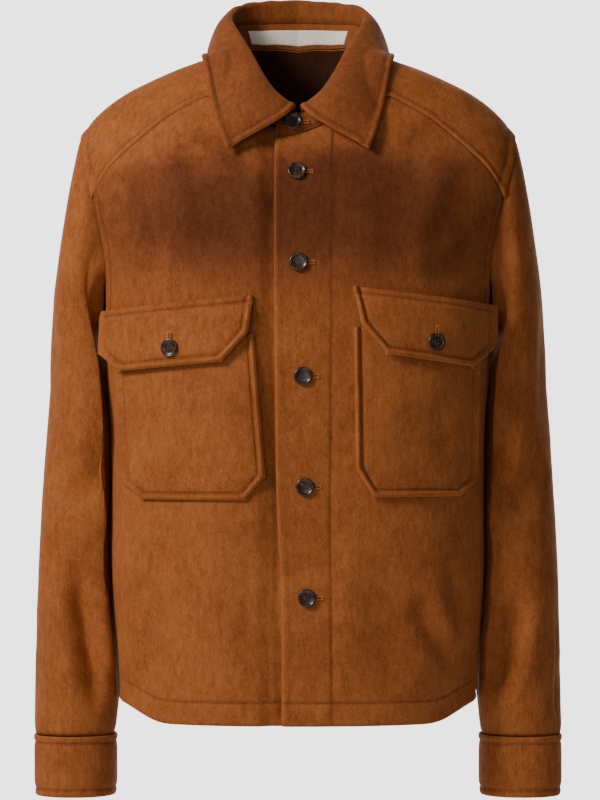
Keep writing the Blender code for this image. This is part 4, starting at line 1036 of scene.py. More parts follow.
# ---------------------------------------------------------------- collar
@dataclass
class Collar:
    """The stand, the turned-over fall and the neck label."""

    wall: float = 0.0030
    stand_wall: float = 0.0026
    roll_leg: float = 0.0050
    tab_reach: float = 0.0276
    tuck_gap: float = 0.0008
    table: Table = field(default_factory=lambda: Table(
        "station roll_x roll_y roll_z rise edge_x edge_y edge_z",
        (0, 0.0030, -0.0700, -0.0580, 0.0010, 0.0695, -0.0920, -0.1030),
        (1, 0.0225, -0.0640, -0.0420, 0.0010, 0.0770, -0.0850, -0.0840),
        (2, 0.0370, -0.0520, -0.0215, 0.0015, 0.0840, -0.0700, -0.0620),
        (3, 0.0500, -0.0310, 0.0020, 0.0020, 0.0915, -0.0470, -0.0350),
        (4, 0.0630, -0.0060, 0.0240, 0.0040, 0.0975, -0.0120, -0.0080),
        (5, 0.0710, 0.0200, 0.0410, 0.0090, 0.0975, 0.0300, 0.0000),
        (6, 0.0640, 0.0460, 0.0555, 0.0150, 0.0850, 0.0640, 0.0020),
        (7, 0.0400, 0.0645, 0.0630, 0.0190, 0.0500, 0.0860, 0.0040),
        (8, 0.0000, 0.0715, 0.0660, 0.0200, 0.0000, 0.0945, 0.0040)))
    dents: tuple[tuple[float, float], ...] = ((-0.0600, 0.0010), (-0.0385, 0.0013), (-0.0170, 0.0009),
                                              (0.0170, 0.0012), (0.0305, 0.0008), (0.0490, 0.0012))

    def level_way(self, points: Points) -> Points:
        """Returns level directions away from the neck's centre."""
        flat = points - np.array([0, -0.004, 0])
        flat[..., 2] = 0
        return unit(flat)

    def radius(self, station: Points) -> Points:
        """Returns the half width of the turned roll."""
        return 0.0040 + 0.0015 * smoothstep(np.asarray(station) / 3)

    def steep(self, station: Points) -> Points:
        """Returns how much the roll climbs at a station, from 0 to 1."""
        return smoothstep(station / 0.6) * smoothstep((4.0 - station) / 1.5)

    def stand_line(self, station: Points, wearer: Wearer, step: Points) -> tuple[Points, Points]:
        """Returns the foot and the top of the stand at stations of one half."""
        sign = wearer.value
        foot = FORM.neckline(station if sign > 0 else np.abs(station)) * np.array([sign, 1, 1])
        foot[:, 0] *= np.where((station < 0) & (sign < 0), -1, 1)
        front = np.maximum(station, 0)
        roll = np.stack([self.table.read(name, front) for name in ("roll_x", "roll_y", "roll_z")], axis=-1)
        past = np.minimum(station, 0)
        roll[:, 0] += self.tab_reach * past
        roll[:, 2] += -0.0040 * past * past
        roll = roll * np.array([sign, 1, 1])
        out = self.level_way(foot)
        top = roll - out * (self.radius(front) - self.wall / 2)[:, None]
        top[:, 2] -= self.table.read("rise", front) + self.roll_leg + 0.0006 + 0.0014 * self.steep(station)
        foot = foot + np.array([0, 0, 0.0010]) - out * step[:, None]
        return foot, top - out * step[:, None]

    def stand(self) -> Cloth:
        """Returns the stand from its buttoned tab round the neck to the end tucked behind it."""
        left = np.concatenate([np.linspace(-0.85, 0, 16)[:-1], np.linspace(0, 8, 88)])
        right = np.concatenate([np.linspace(8, 0, 88)[1:], np.linspace(0, -0.70, 12)[1:]])
        foot_left, top_left = self.stand_line(left, Wearer.LEFT, np.zeros(len(left)))
        step = (self.stand_wall + self.tuck_gap) * smoothstep((2.0 - right) / 1.2)
        foot_right, top_right = self.stand_line(right, Wearer.RIGHT, step)
        foot, top = np.concatenate([foot_left, foot_right]), np.concatenate([top_left, top_right])
        share = fractions(12, 0.06, 0.06)[:, None, None]
        middle = foot[None] + (top - foot)[None] * share
        normal = self.level_way(middle)
        outer = middle + normal * self.stand_wall / 2
        low, high = 2, -3
        seams = [Seam(line, 0.0006, 0.0018) for line in (outer[low, 3:-6], outer[high, 3:20],
                                                         outer[low:high, 3])]
        return Cloth("collar_stand", outer, normal, self.stand_wall, seams=seams,
                     edges=[outer[:, 0]], edge_inset=0.004, puff=0.0004, sway=0.0003, seed=61.0,
                     flat=(0.46, 0.040), held=Held.FOLDED)

    def path(self, station: Points) -> Points:
        """Returns one half of the fall: rows over the roll to the outer edge."""
        read = {name: self.table.read(name, station) for name in self.table.columns}
        roll = np.stack([read["roll_x"], read["roll_y"], read["roll_z"]], axis=-1)
        edge = np.stack([read["edge_x"], read["edge_y"], read["edge_z"]], axis=-1)
        out, up = self.level_way(roll), np.array([0, 0, 1.0])
        radius = self.radius(station)[:, None]
        low = roll - out * radius - up * (read["rise"][:, None] + self.roll_leg)
        high = roll - out * radius - up * radius
        rows = [low + (high - low) * t for t in (0.0, 0.33, 0.66)]
        for degrees in (180, 165, 150, 135, 120, 107, 95, 83, 71, 60):
            angle = math.radians(degrees)
            rows.append(roll + out * radius * math.cos(angle) + up * radius * (math.sin(angle) - 1))
        shoulder = rows[-1]
        reach = np.linalg.norm(edge - shoulder, axis=1, keepdims=True)
        drop = 0.10 + 0.25 * smoothstep(np.abs(station - 1.6) / 1.6)[:, None]
        first = shoulder + unit(out * 0.87 - up * drop + unit(edge - shoulder) * 0.15) * reach * 0.36
        last = edge - unit(edge - shoulder) * reach * 0.33
        for t in fractions(25, 0.0, 0.02)[1:]:
            rows.append((1 - t) ** 3 * shoulder + 3 * (1 - t) ** 2 * t * first
                        + 3 * (1 - t) * t * t * last + t ** 3 * edge)
        return np.stack(rows)

    def clear_of_torso(self, points: Points, clearance: float) -> Points:
        """Returns points pushed off the torso form until they are clear of it."""
        moved = points.copy()
        for side in Side:
            across, over = FORM.powers(side)
            x, away, up = np.abs(points[..., 0]), points[..., 1] - FORM.mid_y, points[..., 2] - FORM.base
            spread = np.clip(1 - (x / FORM.torso.read("width", points[..., 2])) ** across, 1e-6,
                             1) ** (1 / across)
            out = np.abs(away) / (FORM.torso.read(FORM.name_of(side), points[..., 2]) * spread)
            climb = up / (FORM.ridge.read(FORM.name_of(side), x) - FORM.base)
            ratio = (out ** over + climb ** over) ** (1 / over)
            grow = np.maximum(1, 1 / ratio + clearance / np.hypot(away, up))
            here = (away < 0) if side is Side.FRONT else (away >= 0)
            moved[..., 1] = np.where(here, FORM.mid_y + away * grow, moved[..., 1])
            moved[..., 2] = np.where(here, FORM.base + up * grow, moved[..., 2])
        return moved

    def fall(self) -> Cloth:
        """Returns the turned-over leaf with its points, edge stitching and dents along the roll."""
        station = np.unique(np.concatenate([np.linspace(0, 8, 112), [0.012, 0.035, 0.10]]))
        left = self.path(station)
        grid = np.concatenate([left, left[:, -2::-1] * np.array([-1, 1, 1])], axis=1)
        grid[12:] = self.clear_of_torso(grid[12:], self.wall + 0.0024)
        normal = unit(np.cross(np.gradient(grid, axis=0), np.gradient(grid, axis=1)))
        grid, normal = grid[:, ::-1], normal[:, ::-1]
        edges = [grid[12:, 0], grid[-1], grid[12:, -1]]
        inset = self.inset_lines(grid)
        creases = []
        for x, deep in self.dents:
            row = grid[6:18]
            column = int(np.argmin(np.abs(row[4, :, 0] - x) + np.where(row[4, :, 1] < 0.02, 1, 0)))
            creases.append(Crease(tuple(map(tuple, row[:, column])), 0.0052, -deep))
        seams = [Seam(line, 0.0010, 0.0021) for line in inset]
        seams.append(Seam(grid[0], 0.0006, 0.0016, stitched=False))
        return Cloth("collar_fall", grid, normal, 0.0024, seams=seams, edges=edges, edge_inset=0.0072,
                     puff=0.0016, creases=creases, sway=0.0009, seed=71.0, flat=(0.50, 0.095), area=0.040,
                     held=Held.FOLDED)

    def inset_lines(self, grid: Points) -> list[Points]:
        """Returns the stitch line 7 mm inside the fall's two fronts and its outer edge."""
        def moved_in(line: Points, toward: Points, inset: float) -> Points:
            """Returns a line moved inside the leaf by a distance."""
            return line + unit(toward - line) * inset

        fronts = []
        for end, near in ((0, 3), (-1, -4)):
            column = grid[13:-1, end]
            across = grid[13:-1, near]
            fronts.append(moved_in(column, across, 0.0070)[:-4])
        bottom = moved_in(grid[-1], grid[-6], 0.0070)
        return [np.concatenate([fronts[0], bottom[4:-4], fronts[1][::-1]])]

    def label(self) -> Cloth:
        """Returns the bare woven label inside the stand."""
        station = np.linspace(6.4, 8.0, 40)
        rows = []
        for share in np.linspace(0.15, 0.75, 14):
            row = []
            for wearer, order in ((Wearer.LEFT, station), (Wearer.RIGHT, station[-2::-1])):
                foot, top = self.stand_line(order, wearer, np.zeros(len(order)))
                row.append(foot + (top - foot) * share)
            rows.append(np.concatenate(row))
        grid = np.stack(rows)
        normal = -self.level_way(grid)
        grid, normal = grid[:, ::-1], normal[:, ::-1]
        grid = grid + normal * (self.stand_wall / 2 + 0.0003 + 0.0010)
        return Cloth("neck_label", grid, normal, 0.0010, edges=[grid[0], grid[-1], grid[:, 0], grid[:, -1]],
                     edge_inset=0.0016, puff=0.0002, sway=0.0003, seed=83.0, flat=(0.104, 0.017),
                     held=Held.LAID, slot="tape", round_edge=0.0003)

    def build(self) -> list[bpy.types.Object]:
        """Makes the stand, the fall and the label; returns the pieces."""
        return sewn_up([(self.stand(), ["yoke_cloth"]), (self.fall(), ["collar_stand_cloth"]),
                        (self.label(), ["collar_stand_cloth"])])


# ---------------------------------------------------------------- pockets and flaps
@dataclass(frozen=True)
class PatchSizes:
    """Sizes of one pocket and its flap; across is towards the wearer's left."""

    wearer: Wearer
    top: float
    inner_top: float
    inner_low: float
    outer_top: float
    outer_low: float
    low_inner_z: float
    low_outer_z: float
    bottom: float
    cut: float
    flap: tuple[tuple[float, float], ...]      # inner, inner side, inner low, outer low, outer side, outer
    corner_lift: float = 0.0


RIGHT_PATCH = PatchSizes(
    Wearer.RIGHT, top=-0.285, inner_top=-0.0425, inner_low=-0.0315, outer_top=-0.1800, outer_low=-0.1710,
    low_inner_z=-0.4230, low_outer_z=-0.4310, bottom=-0.4460, cut=0.0200,
    flap=((-0.0430, -0.2470), (-0.0475, -0.2830), (-0.0730, -0.3115), (-0.1690, -0.3200), (-0.1860, -0.3020),
          (-0.1885, -0.2600)), corner_lift=0.0026)
LEFT_PATCH = PatchSizes(
    Wearer.LEFT, top=-0.278, inner_top=0.0540, inner_low=0.0560, outer_top=0.1790, outer_low=0.1745,
    low_inner_z=-0.4150, low_outer_z=-0.4280, bottom=-0.4430, cut=0.0170,
    flap=((0.0530, -0.2380), (0.0600, -0.2740), (0.0850, -0.3040), (0.1670, -0.3160), (0.1870, -0.2960),
          (0.1900, -0.2540)))


def moved_inside(corners: Sequence[tuple[float, float]], inset: float) -> Points:
    """Moves an open outline inwards.

    Args:
        corners: the outline's corners across and up, in order round the piece.
        inset: the distance in metres, towards the outline's middle.

    Returns:
        The inner outline's corners.
    """
    corners = np.array(corners, float)
    middle = corners.mean(axis=0)
    lines = []
    for start, end in zip(corners, corners[1:]):
        way = unit(end - start)
        normal = np.array([-way[1], way[0]])
        if np.dot(middle - start, normal) < 0:
            normal = -normal
        lines.append((start + normal * inset, way))
    inner = [lines[0][0]]
    for (p, u), (q, v) in zip(lines, lines[1:]):
        t = ((q[0] - p[0]) * v[1] - (q[1] - p[1]) * v[0]) / (u[0] * v[1] - u[1] * v[0])
        inner.append(p + u * t)
    inner.append(lines[-1][0] + lines[-1][1] * np.linalg.norm(corners[-1] - corners[-2]))
    return np.array(inner)


@dataclass
class ChestPocket:
    """A patch pocket with cut-off corners and its buttoned flap."""

    sizes: PatchSizes
    pocket_wall: float = 0.0024
    flap_wall: float = 0.0026
    gap: float = 0.0009
    inset: float = 0.0064

    def clearance(self, x: Points) -> Points:
        """Returns the gap under the patch, which opens where the torso turns away."""
        return self.gap + 0.0006 * smoothstep((np.abs(x) - 0.130) / 0.035)

    def cloth(self, node: str, across: Points, height: Points, lift: Points, wall: float,
              outline: Sequence[tuple[float, float]], more: Sequence[Seam], **facts) -> Cloth:
        """Lays a patch on the front.

        Args:
            node: the CAD node it stands for.
            across: distances across of the grid.
            height: heights of the grid.
            lift: height of its outer face over the front's form.
            wall: its thickness.
            outline: its free corners in order.
            more: further sewn lines.
            facts: other fields of the cloth.

        Returns:
            The patch.
        """
        points = FORM.point(Side.FRONT, across, height)
        normal = FORM.normal(points)
        points, normal, lift = turned(self.sizes.wearer, points, normal, lift)
        stitch = resampled(moved_inside(outline, self.inset), 0.004)
        edge = resampled(np.array(outline, float), 0.004)
        seams = [Seam(FORM.point(Side.FRONT, stitch[:, 0], stitch[:, 1]), 0.0010, 0.0020), *more]
        return Cloth(node, points, normal, wall, seams=seams,
                     edges=[FORM.point(Side.FRONT, edge[:, 0], edge[:, 1])],
                     edge_inset=0.0064, lift=lift, **facts)

    def pocket(self) -> Cloth:
        """Returns the patch pocket."""
        s = self.sizes
        sign = s.wearer.value
        levels = np.unique(np.concatenate([np.linspace(0, 1, 12), 1 + fractions(54, 0.0, 0.006),
                                           dense(0.42, 0.2, 5)]))
        share = 1 - (1 - fractions(60, 0.006, 0.006)) ** 1.12
        share = np.unique(np.concatenate([share, dense(0.045, 0.025, 6), dense(0.955, 0.025, 6)]))
        low = np.clip(levels, 0, 1)[:, None]
        up = np.clip(levels - 1, 0, 1)[:, None]
        inner = s.inner_low + (1 - low) * s.cut * sign + up * (s.inner_top - s.inner_low)
        outer = s.outer_low - (1 - low) * s.cut * sign + up * (s.outer_top - s.outer_low)
        z_inner = s.bottom + low * (s.low_inner_z - s.bottom) + up * (s.top - s.low_inner_z)
        z_outer = s.bottom + low * (s.low_outer_z - s.bottom) + up * (s.top - s.low_outer_z)
        across = inner + (outer - inner) * share
        height = z_inner + (z_outer - z_inner) * share
        outline = [(s.inner_top, s.top), (s.inner_low, s.low_inner_z), (s.inner_low + s.cut * sign, s.bottom),
                   (s.outer_low - s.cut * sign, s.bottom), (s.outer_low, s.low_outer_z), (s.outer_top, s.top)]
        middle = (s.inner_low + s.outer_low) / 2
        creases = [on_side(Side.FRONT, [(middle - 0.030 * sign, -0.330), (middle - 0.020 * sign, -0.400)],
                           0.016, 0.0009),
                   on_side(Side.FRONT, [(middle + 0.034 * sign, -0.325), (middle + 0.024 * sign, -0.410)],
                           0.015, -0.0009),
                   on_side(Side.FRONT, [(middle - 0.045 * sign, -0.352), (middle + 0.030 * sign, -0.346)],
                           0.010, 0.0008)]
        lift = self.clearance(across) + self.pocket_wall
        return self.cloth("pocket_" + s.wearer.name.lower(), across, height, lift, self.pocket_wall, outline,
                          [],
                          puff=0.0021, creases=creases, sway=0.0007, seed=90.0 + sign, flat=(0.152, 0.166),
                          area=0.0235, held=Held.LAID)

    def flap(self) -> Cloth:
        """Returns the flap, its top sewn down and its free edge puffed."""
        s = self.sizes
        sign = s.wearer.value
        inner, inner_side, inner_low, outer_low, outer_side, outer = (np.array(p) for p in s.flap)
        share = 1 - (1 - fractions(58, 0.006, 0.006)) ** 1.12
        share = np.unique(np.concatenate([share, dense(0.045, 0.025, 6), dense(0.955, 0.025, 6)]))[:, None]
        rows = []
        for t in np.unique(np.concatenate([fractions(13, 0.03, 0.0), dense(0.22, 0.10, 4)])):
            start, end = inner_low + (inner_side - inner_low) * t, outer_low + (outer_side - outer_low) * t
            rows.append(start + (end - start) * share)
        for t in np.unique(np.concatenate([fractions(16, 0.0, 0.02), dense(0.84, 0.08, 5)]))[1:]:
            start, end = inner_side + (inner - inner_side) * t, outer_side + (outer - outer_side) * t
            rows.append(start + (end - start) * share)
        grid = np.stack(rows)
        across, height = grid[..., 0], grid[..., 1]
        below = smoothstep((s.flap[0][1] - height) / 0.022)
        clear = self.clearance(across)
        corner = np.hypot(across - s.flap[4][0], height - s.flap[4][1])
        lift = clear + self.flap_wall + (self.pocket_wall + clear) * below
        lift = lift + s.corner_lift * np.exp(-(corner / 0.020) ** 2)
        lift = lift + 0.0022 * below ** 2
        lift = lift + 0.0008 * bump((height - (s.flap[1][1] - 0.012)) / 0.030)
        top = np.array([inner, outer])
        line = resampled(top + np.array([0.0, -0.0062]), 0.004)[1:-1]
        seam = Seam(FORM.point(Side.FRONT, line[:, 0], line[:, 1]), 0.0010, 0.0019)
        fold = resampled(top + np.array([0.0, -0.0135]), 0.01)
        creases = [Crease(tuple(map(tuple, FORM.point(Side.FRONT, fold[:, 0], fold[:, 1]))), 0.0050, -0.0006)]
        return self.cloth("flap_" + s.wearer.name.lower(), across, height, lift, self.flap_wall,
                          [tuple(p) for p in (inner, inner_side, inner_low, outer_low, outer_side, outer)],
                          [seam],
                          puff=0.0022, creases=creases, sway=0.0006, seed=96.0 + sign, flat=(0.152, 0.072),
                          area=0.0093, held=Held.LAID)

    def build(self) -> list[bpy.types.Object]:
        """Makes the pocket and the flap; returns the pieces."""
        word = self.sizes.wearer.name.lower()
        return sewn_up([(self.pocket(), [f"front_{word}_cloth"]), (self.flap(), [f"pocket_{word}_cloth"])])


# ---------------------------------------------------------------- buttons
class Hole(Enum):
    """Which way a buttonhole runs from its button."""

    ACROSS = (1.0, 0.0)
    UP = (0.0, 1.0)


@dataclass(frozen=True)
class ButtonPlace:
    """A button's node, the point under its back, its outward way and its hole."""

    node: str
    point: tuple[float, float, float]
    way: tuple[float, float, float]
    hole: Optional[Hole]
    turn: float = 0.0


@dataclass
class Buttons:
    """Four-hole horn buttons, sewn with tan thread, and their worked buttonholes."""

    radius: float = 0.0090
    thickness: float = 0.0032
    hole_circle: float = 0.0024
    hole_radius: float = 0.00105
    seam: float = 0.0003
    floor: float = 0.64            # height of the floor with the holes, as a share of the thickness
    strand_gap: float = 0.00022    # half the distance between two strands in a hole
    sink: float = 0.0006           # from a button's back down to the cloth, less the seam
    flap_sink: float = 0.0034
    lip_from: float = 0.0085       # places along a worked hole, from the button's middle
    lip_to: float = 0.0148
    bar_at: float = 0.0154
    slit_at: float = 0.0118
    profile: tuple[tuple[float, float], ...] = (
        (0.0, 0.0), (0.60, 0.0), (0.86, 0.10), (0.97, 0.34), (1.0, 0.58), (0.985, 0.80), (0.93, 0.96),
        (0.86, 1.0), (0.79, 0.95), (0.73, 0.82), (0.67, 0.71), (0.56, 0.66), (0.30, 0.64), (0.0, 0.64))
    fronts: tuple[tuple[str, float, float, float], ...] = (
        ("button_front_1", -0.0010, -0.1245, 12.0), ("button_front_2", 0.0005, -0.2145, 0.0),
        ("button_front_3", 0.0050, -0.3252, 30.0), ("button_front_4", 0.0068, -0.4329, 38.0),
        ("button_front_5", 0.0087, -0.5406, 8.0), ("button_flap_right", -0.1215, -0.2978, 0.0),
        ("button_flap_left", 0.1310, -0.2920, 6.0))

    def on_fronts(self) -> list[ButtonPlace]:
        """Returns the places of the buttons on the fronts and the flaps."""
        places = []
        for node, x, z, turn in self.fronts:
            point = FORM.point(Side.FRONT, x, z)
            way = FORM.normal(point)
            lift, hole = self.seam, Hole.ACROSS
            if "flap" in node:
                clear = 0.0009 + 0.0006 * float(smoothstep((abs(x) - 0.130) / 0.035))
                lift, hole = lift + 0.0066 + 2 * clear, Hole.UP
            places.append(ButtonPlace(node, tuple(point + way * lift), tuple(way), hole, turn))
        return places

    def on_stand(self, collar: Collar) -> ButtonPlace:
        """Returns the place of the collar stand's button."""
        foot, top = collar.stand_line(np.array([-0.25]), Wearer.LEFT, np.array([0.0]))
        rise = unit(top[0] - foot[0])
        way = unit(np.cross(np.array([1.0, 0, 0]), rise))
        point = foot[0] + rise * 0.0125 + way * (collar.stand_wall / 2 + 2 * self.seam)
        return ButtonPlace("button_stand", tuple(point), tuple(way), Hole.ACROSS, 20.0)

    def on_cuff(self, arm: Arm) -> ButtonPlace:
        """Returns the place of a cuff's button."""
        sweep = np.linspace(0, 2 * math.pi + arm.cuff_lap, 31)
        band = arm.cuff_row(np.array([(arm.cuff_top + arm.cuff_bottom) / 2]), sweep)[0]
        way = unit(np.cross(np.array([0, 0, 1.0]), band[-2] - band[-4]))
        flip = np.array([arm.wearer.value, 1, 1])
        return ButtonPlace("button_cuff_" + arm.word(), tuple((band[-3] + way * 2 * self.seam) * flip),
                           tuple(way * flip), None, 10.0)

    def placed(self, place: ButtonPlace) -> Matrix:
        """Returns the matrix that carries a button from the origin to its place."""
        turn = Vector(place.way).to_track_quat("Z", "Y").to_matrix().to_4x4()
        return Matrix.Translation(Vector(place.point)) @ turn @ Matrix.Rotation(math.radians(place.turn), 4,
                                                                                "Z")

    def disc(self, place: ButtonPlace) -> bpy.types.Object:
        """Turns the button's profile round and returns the piece."""
        mesh = bmesh.new()
        verts = [mesh.verts.new((r * self.radius, 0, h * self.thickness)) for r, h in self.profile]
        edges = [mesh.edges.new(pair) for pair in zip(verts, verts[1:])]
        bmesh.ops.spin(mesh, geom=verts + edges, cent=(0, 0, 0), axis=(0, 0, 1), angle=2 * math.pi,
                       steps=48, use_merge=True)
        bmesh.ops.remove_doubles(mesh, verts=mesh.verts, dist=1e-6)
        bmesh.ops.recalc_face_normals(mesh, faces=mesh.faces)
        bmesh.ops.transform(mesh, matrix=self.placed(place), verts=mesh.verts)
        piece = finished(place.node + "_disc", mesh)
        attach(piece, "root")
        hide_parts(place.node)
        return piece

    def holes(self, place: ButtonPlace) -> bpy.types.Object:
        """Returns the four dark holes, each a shallow cone flush with the button's floor."""
        mesh = bmesh.new()
        top = self.floor * self.thickness
        for quarter in range(4):
            angle = math.radians(45 + 90 * quarter)
            spot = Vector((self.hole_circle * math.cos(angle), self.hole_circle * math.sin(angle),
                           top - 0.0002))
            bmesh.ops.create_cone(mesh, cap_ends=True, cap_tris=False, segments=16, radius1=self.hole_radius,
                                  radius2=self.hole_radius, depth=0.0005,
                                  matrix=self.placed(place) @ Matrix.Translation(spot))
        piece = finished(place.node + "_holes", mesh, smooth=False)
        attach(piece, "root")
        return piece

    def sewing(self, place: ButtonPlace) -> bpy.types.Object:
        """Returns the strands that pass through the holes, and the worked hole beside the button."""
        carried = self.placed(place)
        top = self.floor * self.thickness + 0.00022
        parts = []
        for quarter in range(4):
            angle = math.radians(45 + 90 * quarter)
            x, y = self.hole_circle * math.cos(angle), self.hole_circle * math.sin(angle)
            for strand in (-self.strand_gap, self.strand_gap):
                ends = np.array([carried @ Vector((x + strand, y * share, top)) for share in (0.86, 0.98)])
                parts.append(thread_row(f"strand_{len(parts) + 1}", ends, np.tile(place.way, (2, 1)), 0.0010,
                                        0.00026, 0.0002))
        if place.hole is not None:
            parts += self.worked_hole(place)
        threads = joined(place.node + "_thread", parts)
        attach(threads, "root")
        return threads

    def hole_frame(self, place: ButtonPlace) -> tuple[Points, Points, Points, Points, Points]:
        """Works out where a buttonhole lies.

        Args:
            place: the button whose hole it is.

        Returns:
            The point on the cloth, and the ways out of it, across, up and along the hole.
        """
        way = np.array(place.way)
        x_way = unit(np.cross(way, np.array([0, 0, 1.0])))
        x_way = x_way * (1 if x_way[0] > 0 else -1)
        up_way = unit(np.cross(way, x_way))
        up_way = up_way * (1 if up_way[2] > 0 else -1)
        along = x_way * place.hole.value[0] + up_way * place.hole.value[1]
        sink = self.flap_sink if place.hole is Hole.UP else self.sink
        return np.array(place.point) - way * (self.seam - sink), way, x_way, up_way, along

    def worked_hole(self, place: ButtonPlace) -> list[bpy.types.Object]:
        """Returns the stitches that bind a buttonhole's two lips and its end."""
        ground, way, x_way, up_way, along = self.hole_frame(place)
        aside = up_way * place.hole.value[0] + x_way * place.hole.value[1]
        parts = []
        for side in (-1, 1):
            line = np.array([ground + along * reach + aside * side * 0.00125
                             for reach in np.linspace(self.lip_from, self.lip_to, 8)])
            parts.append(thread_row(f"lip_{side}", line, np.tile(way, (8, 1)), 0.0021, 0.00050, 0.00078,
                                    across=True))
        end = np.array([ground + along * self.bar_at + aside * t for t in np.linspace(-0.0019, 0.0019, 8)])
        parts.append(thread_row("bar", end, np.tile(way, (8, 1)), 0.0015, 0.00050, 0.00070, across=True))
        return parts

    def slit(self, place: ButtonPlace) -> bpy.types.Object:
        """Returns the dark slit between a buttonhole's lips."""
        ground, way, _, _, along = self.hole_frame(place)
        aside = np.cross(way, along)
        spot = ground + along * self.slit_at
        axes = Matrix((Vector(along * 0.0032), Vector(aside * 0.00030),
                       Vector(way * 0.00024))).transposed().to_4x4()
        mesh = bmesh.new()
        bmesh.ops.create_icosphere(mesh, subdivisions=2, radius=1.0,
                                   matrix=Matrix.Translation(Vector(spot)) @ axes)
        bmesh.ops.recalc_face_normals(mesh, faces=mesh.faces)
        piece = finished(place.node + "_slit", mesh)
        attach(piece, "root")
        return piece

    def build(self, collar: Collar, arms: Sequence[Arm]) -> dict[str, list[bpy.types.Object]]:
        """Makes every button; returns the pieces grouped by finish."""
        groups: dict[str, list[bpy.types.Object]] = {"horn": [], "dark": [], "thread": []}
        for place in [*self.on_fronts(), self.on_stand(collar), *(self.on_cuff(arm) for arm in arms)]:
            groups["horn"].append(self.disc(place))
            groups["dark"].append(self.holes(place))
            groups["thread"].append(self.sewing(place))
            if place.hole is not None:
                groups["dark"].append(self.slit(place))
            LOG.info("%s sewn on", place.node)
        return groups


# ---------------------------------------------------------------- finishes
def linear(hex_colour: str, alpha: float = 1.0) -> tuple[float, float, float, float]:
    """Turns an sRGB hex colour into linear red, green, blue and alpha."""
    values = [int(hex_colour[i:i + 2], 16) / 255 for i in (1, 3, 5)]
    values = [v / 12.92 if v <= 0.04045 else ((v + 0.055) / 1.055) ** 2.4 for v in values]
    return (*values, alpha)


def add_node(tree: bpy.types.NodeTree, kind: str, settings: Optional[dict] = None, **links) -> bpy.types.Node:
    """Adds a node with its settings and links.

    Args:
        tree: the material's node tree.
        kind: the node's type.
        settings: attribute names and values.
        links: sockets by name, with _ for each space, or by place as in0, in1 and so on; the
            value is an output socket or a constant.

    Returns:
        The new node.
    """
    node = tree.nodes.new(kind)
    for key, value in (settings or {}).items():
        setattr(node, key, value)
    for key, value in links.items():
        placed = key[:2] == "in" and key[2:].isdigit()
        socket = node.inputs[int(key[2:]) if placed else key.replace("_", " ")]
        if isinstance(value, bpy.types.NodeSocket):
            tree.links.new(value, socket)
        else:
            socket.default_value = value
    return node


def calculated(tree: bpy.types.NodeTree, operation: str, *values) -> bpy.types.NodeSocket:
    """Returns the output of a maths node over sockets and constants."""
    inputs = {f"in{place}": value for place, value in enumerate(values)}
    return add_node(tree, "ShaderNodeMath", {"operation": operation}, **inputs).outputs[0]


def mixed(tree: bpy.types.NodeTree, blend: str, share, first, second) -> bpy.types.NodeSocket:
    """Returns two colours mixed by a share."""
    return add_node(tree, "ShaderNodeMixRGB", {"blend_type": blend}, Fac=share, Color1=first,
                    Color2=second).outputs[0]


def remapped(tree: bpy.types.NodeTree, value: bpy.types.NodeSocket, start: tuple[float, float],
             end: tuple[float, float], kind: str = "LINEAR") -> bpy.types.NodeSocket:
    """Returns a value carried from one range to another, held at both ends."""
    return add_node(tree, "ShaderNodeMapRange", {"interpolation_type": kind}, Value=value, From_Min=start[0],
                    From_Max=start[1], To_Min=end[0], To_Max=end[1]).outputs[0]


def new_finish(name: str) -> tuple[bpy.types.Material, bpy.types.NodeTree, bpy.types.Node]:
    """Returns a new material, its tree and its shader."""
    material = bpy.data.materials.new(name)
    material.use_nodes = True
    return material, material.node_tree, material.node_tree.nodes["Principled BSDF"]


def dress(pieces: Sequence[Optional[bpy.types.Object]], material: bpy.types.Material,
          inside: Optional[bpy.types.Material] = None) -> None:
    """Gives pieces their finish, and walled ones the finish of their inner face."""
    for piece in pieces:
        if piece is not None:
            piece.data.materials.clear()
            piece.data.materials.append(material)
            if piece.modifiers.get("wall"):
                piece.data.materials.append(inside or material)


